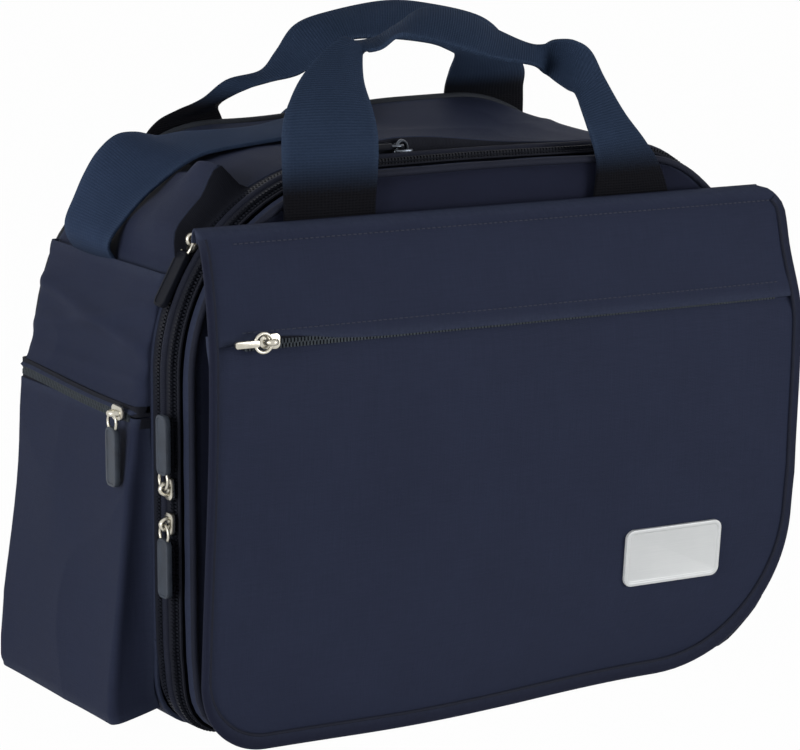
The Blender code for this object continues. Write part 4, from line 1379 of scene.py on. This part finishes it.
def ribbon(name, stations, thickness, steps=8, columns=12, shade_reach=0.0):
    """Webbing through stations of (one edge in mm, other edge in mm, curl in degrees), with painted shade darkening
    both ends, and its length."""
    firsts = smooth_run([Vector(s[0]) * MM for s in stations], steps)
    seconds = smooth_run([Vector(s[1]) * MM for s in stations], steps)
    curls = smooth_run([math.radians(s[2]) for s in stations], steps)
    centres = [(first + second) / 2 for first, second in zip(firsts, seconds)]
    rows = len(centres) - 1
    lengths = [0.0]
    for near, far in zip(centres, centres[1:]):
        lengths.append(lengths[-1] + (far - near).length)

    def place(u, v):
        i = min(round(v * rows), rows)
        ahead = centres[min(i + 1, rows)] - centres[max(i - 1, 0)]
        across = seconds[i] - firsts[i]
        lift = ahead.cross(across).normalized()
        turn = curls[i] if abs(curls[i]) > 0.02 else 0.02
        radius = across.length / (2 * math.sin(turn / 2))
        angle = (u - 0.5) * turn
        bulge = radius * (math.cos(angle) - math.cos(turn / 2))
        return centres[i] + across.normalized() * (radius * math.sin(angle)) + lift * bulge

    obj = cloth(name, columns, rows, place, (WEBBING_WIDTH, lengths[-1]), 3 * MM)
    for corner in obj.data.uv_layers.active.data:
        i = min(round(corner.uv.y / lengths[-1] * rows), rows)
        corner.uv.y = lengths[i]
    # Painted shade mask: 1 at both ends of the webbing, fading to 0 over 26 mm past the given reach.
    marks = obj.data.attributes.new("stain", "FLOAT", "POINT")
    for loop in obj.data.loops:
        along = obj.data.uv_layers.active.data[loop.index].uv.y
        margin = min(along, lengths[-1] - along)
        marks.data[loop.vertex_index].value = 1 - ease((margin - shade_reach) / (26 * MM))
    thicken(obj, thickness, None, 0.0, 0.5 * MM)
    return obj, lengths[-1]


def spread(centre, across, width):
    """Both edges of flat webbing in mm, from its middle and the way to its first edge."""
    reach = Vector(across).normalized() * (width / MM / 2)
    return Vector(centre) + reach, Vector(centre) - reach


def build_front_handle():
    stations = [
        ((-132, -78.6, 236), (-78, -78.6, 236), 0),
        ((-132, -78.8, 264), (-78, -78.8, 264), 0),
        ((-132, -79.4, 284), (-78, -79.4, 283), -4),
        ((-133, -80, 300), (-77, -80, 299), -8),
        ((-133, -79.2, 318), (-76, -78.6, 316), -14),
        ((-129, -75, 332), (-75, -72, 329), -24),
        ((-115, -64, 347), (-74, -60, 344), -34),
        ((-97, -54, 359), (-70, -51, 356), -40),
        ((-80, -47, 367), (-67, -48, 359), -40),
        ((-68, -40, 364), (-65, -51, 360), -30),
        ((-52, -35, 365), (-58, -53, 362), -20),
        ((-36, -31, 371), (-48, -54, 368), -20),
        ((-17, -28, 379), (-35, -55, 366), -30),
        ((7, -28, 376), (-13, -55, 360), -30),
        ((27, -33, 365), (11, -54, 353), -25),
        ((46, -39, 357), (38, -51, 348), -15),
        ((57, -44, 360), (56, -38, 340), 20),
        ((63, -54, 360.5), (64, -47, 333), -30),
        ((70, -59, 355), (61, -59, 332), -50),
        ((76, -64, 340), (59, -64, 329), -35),
        ((84, -72, 321), (59, -73, 317), -24),
        ((94, -78.8, 305), (61, -79.2, 302), -14),
        ((103, -80, 291), (62, -80, 291), -8),
        ((111, -79.0, 268), (60, -79.0, 268), 0),
        ((114, -78.6, 236), (60, -78.6, 236), 0),
    ]
    # Painted shade darkens the last 50 mm at each end of the handle.
    handle, length = ribbon("front_handle_webbing", stations, WEBBING_THICKNESS, shade_reach=50 * MM)
    nodes = ("front_handle", "front_handle_left_tab", "front_handle_right_tab")
    finish(handle, WEBBING, "navy_webbing", *nodes)
    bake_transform(handle)


def build_back_handle():
    stations = [
        ((-117, 120, 254), (-63, 120, 254), 0),
        ((-117, 120, 282), (-63, 120, 284), 0),
        ((-116, 120.5, 298), (-65, 120.5, 304), -4),
        ((-108, 120, 308), (-69, 119.5, 314), -16),
        ((-97, 118, 314), (-71, 112, 318.5), -30),
        ((-83, 113, 320), (-70, 104, 322), -30),
        ((-71, 105, 331), (-62, 94, 327), -20),
        ((-53, 97, 336), (-53, 83, 332), -20),
        ((-46, 90, 348), (-41, 72, 336), -20),
        ((-38, 82, 363), (-33, 60, 346), -30),
        ((-19, 76, 370), (-22, 52, 356), -30),
        ((16, 73, 375), (0, 46, 357), -30),
        ((46, 74, 372), (29, 46, 353), -30),
        ((83, 78, 363), (48, 56, 347), -20),
        ((105, 84, 348), (61, 70, 342), -10),
        ((125, 97, 331), (72, 95, 330), -6),
        ((137, 117, 316), (82, 117, 317), -4),
        ((139, 120.5, 302), (84, 120.5, 302), -2),
        ((138, 120, 284), (84, 120, 284), 0),
        ((138, 120, 254), (84, 120, 254), 0),
    ]
    # Painted shade darkens the last 66 mm at each end of the handle.
    handle, length = ribbon("back_handle_webbing", stations, WEBBING_THICKNESS, shade_reach=66 * MM)
    nodes = ("back_handle", "back_handle_left_tab", "back_handle_right_tab")
    finish(handle, WEBBING, "navy_webbing", *nodes)
    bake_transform(handle)


def build_strap():
    """One length of webbing: out of the left seam, over the top, down the back in a loop, to the right seam."""
    hang_y = 134
    over_the_top = [
        ((-174, 79, 236), (-174, 27, 235)),
        ((-178, 79, 245), (-178, 27, 244)),
        ((-184.5, 77, 254), (-183.5, 26, 252)),
        ((-185.5, 76, 263), (-182, 25, 259)),
        ((-180, 76, 275), (-175, 25, 267)),
        ((-174, 76, 287), (-168, 25, 274)),
        ((-166, 76, 298.5), (-160, 25, 281)),
        ((-155, 76, 307), (-150, 25, 288)),
        ((-143, 76, 308), (-140, 25, 294.5)),
        ((-129, 77, 305), (-127, 26, 300)),
        ((-113, 79, 306), (-113, 28, 302)),
        ((-90, 82, 305.5), (-98, 31, 303)),
        ((-66, 86, 305.5), (-74, 38, 304)),
        ((-44, 95, 307), (-42, 49, 305)),
        ((-22, 107, 309), (-8, 67, 307.5)),
        ((-17, 118, 311), (18, 96, 315)),
        ((-20, 130, 308), (25, 122, 317)),
    ]
    down_the_back = [
        ((0, hang_y, 295), (-1, 0, 0)),
        ((0, hang_y, 250), (-1, 0, 0)),
        ((0, hang_y, 205), (-1, 0, 0)),
        ((0, hang_y, 160), (-1, 0, 0)),
        ((0, hang_y + 0.5, 138), (-1, 0.1, 0)),
        ((1, 138, 116), (-0.9, 0.45, 0)),
        ((7, 146, 94), (-0.6, 0.8, 0.1)),
        ((20, 152, 75), (-0.25, 1, 0.1)),
        ((39, 155, 62), (0, 1, 0)),
        ((63, 156, 56), (0, 1, 0)),
        ((87, 155, 62), (0, 1, 0)),
        ((106, 152, 76), (0.25, 1, 0.1)),
        ((119, 146, 98), (0.6, 0.8, 0.1)),
        ((126, 139, 124), (0.9, 0.45, 0)),
        ((130, 135.5, 152), (1, 0.1, 0)),
    ]
    to_the_right_seam = [
        ((155, 135.5, 180), (106, 135.5, 188)),
        ((157, 135.5, 198), (118, 135.5, 220)),
        ((161, 135.5, 215), (138, 135, 250)),
        ((166, 133, 230), (150, 131, 271)),
        ((173, 128, 243), (159, 120, 278)),
        ((179, 121, 251), (166, 97, 273)),
        ((182, 114, 254), (175, 74, 267)),
        ((183, 107, 252), (183, 58, 256)),
        ((178, 102, 245), (178, 51, 245)),
        ((174, 102, 236), (174, 51, 235)),
    ]
    lengthwise = [spread(centre, across, STRAP_WIDTH) for centre, across in down_the_back]
    stations = [(*edges, -8) for edges in over_the_top + lengthwise + to_the_right_seam]
    strap, length = ribbon("strap_webbing", stations, STRAP_THICKNESS, 7, 8)
    add_piece(strap, "bag_shell", STRAP, "navy_webbing", "shoulder_strap")


# Sliders and pulls


def rounded_block(name, size, corner, segments, edge):
    """A block with round corners seen from above and softened edges."""
    deselect()
    bpy.ops.mesh.primitive_cube_add(size=1)
    obj = bpy.context.object
    obj.name = name
    obj.data.transform(Matrix.Diagonal((*size, 1.0)))
    for edge_line in obj.data.edges:
        low, high = (obj.data.vertices[i].co for i in edge_line.vertices)
        edge_line.select = abs(low.z - high.z) > 0.5 * size[2]
    bpy.ops.object.mode_set(mode="EDIT")
    bpy.ops.mesh.select_mode(type="EDGE")
    bpy.ops.mesh.select_all(action="DESELECT")
    bpy.ops.object.mode_set(mode="OBJECT")
    for edge_line in obj.data.edges:
        low, high = (obj.data.vertices[i].co for i in edge_line.vertices)
        edge_line.select = abs(low.z - high.z) > 0.5 * size[2]
    bpy.ops.object.mode_set(mode="EDIT")
    bpy.ops.mesh.bevel(offset=corner, segments=segments)
    bpy.ops.object.mode_set(mode="OBJECT")
    rim = obj.modifiers.new("rim", "BEVEL")
    rim.width = edge
    rim.segments = 2
    rim.limit_method = "ANGLE"
    apply_modifiers(obj)
    return obj


def model_slider():
    """Slider body: a waisted top plate and an arched bridge over it."""
    plate = rounded_block("slider_plate", SLIDER_SIZE, 2.6 * MM, 4, 0.5 * MM)
    for vertex in plate.data.vertices:
        along = vertex.co.x / SLIDER_SIZE.x
        vertex.co.y *= 1.0 - 0.3 * max(0.0, along * 2) - 0.12 * max(0.0, -along * 2)
        vertex.co.z += SLIDER_SIZE.z / 2
    reach = 3.4 * MM
    points = []
    for i in range(13):
        turn = math.pi * i / 12
        points.append(Vector((reach * math.cos(turn), 0, SLIDER_SIZE.z - 0.6 * MM + 5.0 * MM * math.sin(turn))))
    bridge = cord_tube("slider_bridge", points, 1.0 * MM, closed=False)
    for vertex in bridge.data.vertices:
        vertex.co.y *= 1.5
    choose(plate)
    bridge.select_set(True)
    bpy.ops.object.join()
    smooth(plate, 40)
    return plate


def model_link():
    deselect()
    bpy.ops.mesh.primitive_torus_add(major_radius=LINK_RADIUS, minor_radius=LINK_WIRE, major_segments=32,
                                     minor_segments=10)
    link = bpy.context.object
    link.name = "link_model"
    link.data.transform(Matrix.Translation((LINK_RADIUS, 0, 0)))
    smooth(link, 60)
    return link


def model_tab(name, size, recess):
    """A pull tab from the far side of the link: a pill with a recessed face on both sides."""
    tab = rounded_block(name, size, size.y * 0.32, 5, 0.5 * MM)
    if recess:
        bpy.ops.object.mode_set(mode="EDIT")
        bpy.ops.mesh.select_mode(type="FACE")
        bpy.ops.mesh.select_all(action="DESELECT")
        bpy.ops.object.mode_set(mode="OBJECT")
        for face in tab.data.polygons:
            face.select = abs(face.normal.z) > 0.95 and face.area > 0.4 * size.x * size.y
        bpy.ops.object.mode_set(mode="EDIT")
        bpy.ops.mesh.inset(thickness=0.9 * MM)
        bpy.ops.mesh.inset(thickness=0.4 * MM, depth=-0.45 * MM)
        bpy.ops.object.mode_set(mode="OBJECT")
    start = 2 * LINK_RADIUS - 2.4 * MM
    tab.data.transform(Matrix.Translation((start + size.x / 2, 0, 0)))
    smooth(tab, 40)
    return tab


def placed_copy(model, name, place):
    copy = bpy.data.objects.new(name, model.data.copy())
    copy.data.name = name
    copy.data.transform(place)
    bpy.context.scene.collection.objects.link(copy)
    return copy


def build_pulls():
    slider = model_slider()
    link = model_link()
    tab = model_tab("tab_model", TAB_SIZE, True)
    bar = model_tab("bar_model", BAR_SIZE, False)
    turn = math.radians(39)
    shoulder = Vector((SHOULDER - HALF_WIDTH, MAIN_ZIP_Y, FRONT_TOP - SHOULDER))
    outward = Vector((-math.cos(turn), 0, math.sin(turn)))
    downward = Vector((-math.sin(turn), 0, -math.cos(turn)))
    zip_face = flap_y(FLAP_ZIP_Z) - FLAP_HALF_THICKNESS - 1.8 * MM
    left = Vector((-1, 0, 0))
    right = Vector((1, 0, 0))
    up = Vector((0, 0, 1))
    mouth = POCKET_MOUTH_X + 1.2 * MM
    spots = [
        ("main_zip_left", shoulder + outward * SHOULDER, outward, downward, 0, tab),
        ("main_zip_top", Vector((-42 * MM, MAIN_ZIP_Y, FRONT_TOP)), up, left, 0, tab),
        ("front_zip_upper", Vector((-HALF_WIDTH, FRONT_ZIP_Y, 137 * MM)), left, up, 0, tab),
        ("front_zip_lower", Vector((-HALF_WIDTH, FRONT_ZIP_Y, 118 * MM)), left, -up, 0, tab),
        ("flap_zip", Vector((-155 * MM, zip_face, FLAP_ZIP_Z)), Vector((0, -1, 0)), left, 0, bar),
        ("left_pocket", Vector((-mouth, -26 * MM, POCKET_ZIP_Z)), left, -up, 90, tab),
        ("right_pocket", Vector((mouth, -26 * MM, POCKET_ZIP_Z)), right, -up, 90, tab),
    ]
    for word, spot, out, way, along, pull in spots:
        base = stand(way, out, spot + out * SEAT_GAP)
        droop = math.radians(10 if word == "main_zip_left" else 0)
        pivot = base @ Matrix.Translation((0, 0, PIVOT_HEIGHT)) @ Matrix.Rotation(droop, 4, "Y")
        # The top zip's slider and link take the darker nickel, which is painted shade.
        metal = SHADED_NICKEL if word == "main_zip_top" else METAL
        plate_turn = base @ Matrix.Rotation(math.radians(along), 4, "Z")
        body = placed_copy(slider, word + "_slider_metal", plate_turn)
        add_piece(body, word + "_runner", metal, "bright_metal", word + "_slider")
        ring = placed_copy(link, word + "_link_metal", pivot)
        add_piece(ring, word + "_pull", metal, "bright_metal", word + "_link")
        grip = placed_copy(pull, word + "_tab_grip", pivot)
        # The main zip's tabs take the darker rubber, which is painted shade.
        rubber = SHADED_RUBBER if word.startswith("main_zip") else RUBBER
        material, slot = (METAL, "bright_metal") if pull is bar else (rubber, "grey_rubber")
        add_piece(grip, word + "_pull", material, slot, word + "_tab")
    for model in (slider, link, tab, bar):
        bpy.data.objects.remove(model)


# Kept nodes


def dress_nodes():
    finishes = {"base_board": PLASTIC, "strap_adjuster": PLASTIC, "front_loop_patch": PILE, "flap_hook_patch": PILE}
    for node, material in finishes.items():
        bpy.data.objects[node].material_slots[0].material = material


# Floor, light and background


def lamp(name, place, target, size, power):
    data = bpy.data.lights.new(name, "AREA")
    data.shape = "DISK"
    data.size = size
    data.energy = power
    obj = bpy.data.objects.new(name, data)
    obj.location = place
    obj.rotation_euler = (Vector(target) - Vector(place)).to_track_quat("-Z", "Y").to_euler()
    bpy.context.scene.collection.objects.link(obj)


def direct_rays(paint):
    """1 for camera, mirror and see-through rays, and 0 for the light that falls on the bag."""
    path = paint.tree.nodes.new("ShaderNodeLightPath")
    camera = Wire(paint, path.outputs["Is Camera Ray"])
    glossy = Wire(paint, path.outputs["Is Glossy Ray"])
    through = Wire(paint, path.outputs["Is Transmission Ray"])
    return (camera + glossy + through).clamped()


def make_floor():
    deselect()
    bpy.ops.mesh.primitive_circle_add(vertices=96, radius=6.0, fill_type="NGON", location=(0, 0, -0.5 * MM))
    floor = bpy.context.object
    floor.name = "floor"
    paint = Paint("floor_paper", 0.9, specular=0.1)
    grain = paint.cloud(paint.object_place(), 40.0, 3.0)
    paint.drive("Base Color", paint.blend_colours(grain, tint(240, 240, 240), tint(246, 246, 246)))
    glow = paint.tree.nodes.new("ShaderNodeEmission")
    glow.inputs["Color"].default_value = (1.0, 1.0, 1.0, 1.0)
    mixed = paint.tree.nodes.new("ShaderNodeMixShader")
    paint.tree.links.new((direct_rays(paint) * 0.985).socket, mixed.inputs[0])
    paint.tree.links.new(paint.shader.outputs[0], mixed.inputs[1])
    paint.tree.links.new(glow.outputs[0], mixed.inputs[2])
    paint.tree.links.new(mixed.outputs[0], paint.tree.nodes["Material Output"].inputs["Surface"])
    floor.data.materials.append(paint.material)


def make_world():
    world = bpy.data.worlds.new("studio")
    bpy.context.scene.world = world
    world.use_nodes = True
    tree = world.node_tree
    back = tree.nodes["Background"]
    path = tree.nodes.new("ShaderNodeLightPath")
    total = tree.nodes.new("ShaderNodeMath")
    total.operation = "MAXIMUM"
    both = tree.nodes.new("ShaderNodeMath")
    both.operation = "MAXIMUM"
    tree.links.new(path.outputs["Is Camera Ray"], total.inputs[0])
    tree.links.new(path.outputs["Is Glossy Ray"], total.inputs[1])
    tree.links.new(total.outputs[0], both.inputs[0])
    tree.links.new(path.outputs["Is Transmission Ray"], both.inputs[1])
    level = tree.nodes.new("ShaderNodeMapRange")
    level.inputs["To Min"].default_value = 0.15
    level.inputs["To Max"].default_value = 1.0
    tree.links.new(both.outputs[0], level.inputs["Value"])
    tree.links.new(level.outputs[0], back.inputs["Strength"])
    back.inputs["Color"].default_value = (1.0, 1.0, 1.0, 1.0)


def make_light():
    middle = (0, 0, 0.17)
    lamp("left", (-2.3, -0.75, 0.6), middle, 1.4, 31)
    lamp("front", (1.5, -2.0, 0.25), middle, 1.6, 43)
    bpy.context.scene.view_settings.view_transform = "Standard"


build_shell()
build_ring_zips()
build_middle()
build_front()
build_flap()
for pocket_word, pocket_side in (("left", -1), ("right", 1)):
    build_pocket(pocket_word, pocket_side)
build_front_handle()
build_back_handle()
build_strap()
build_pulls()
dress_nodes()
make_floor()
make_world()
make_light()
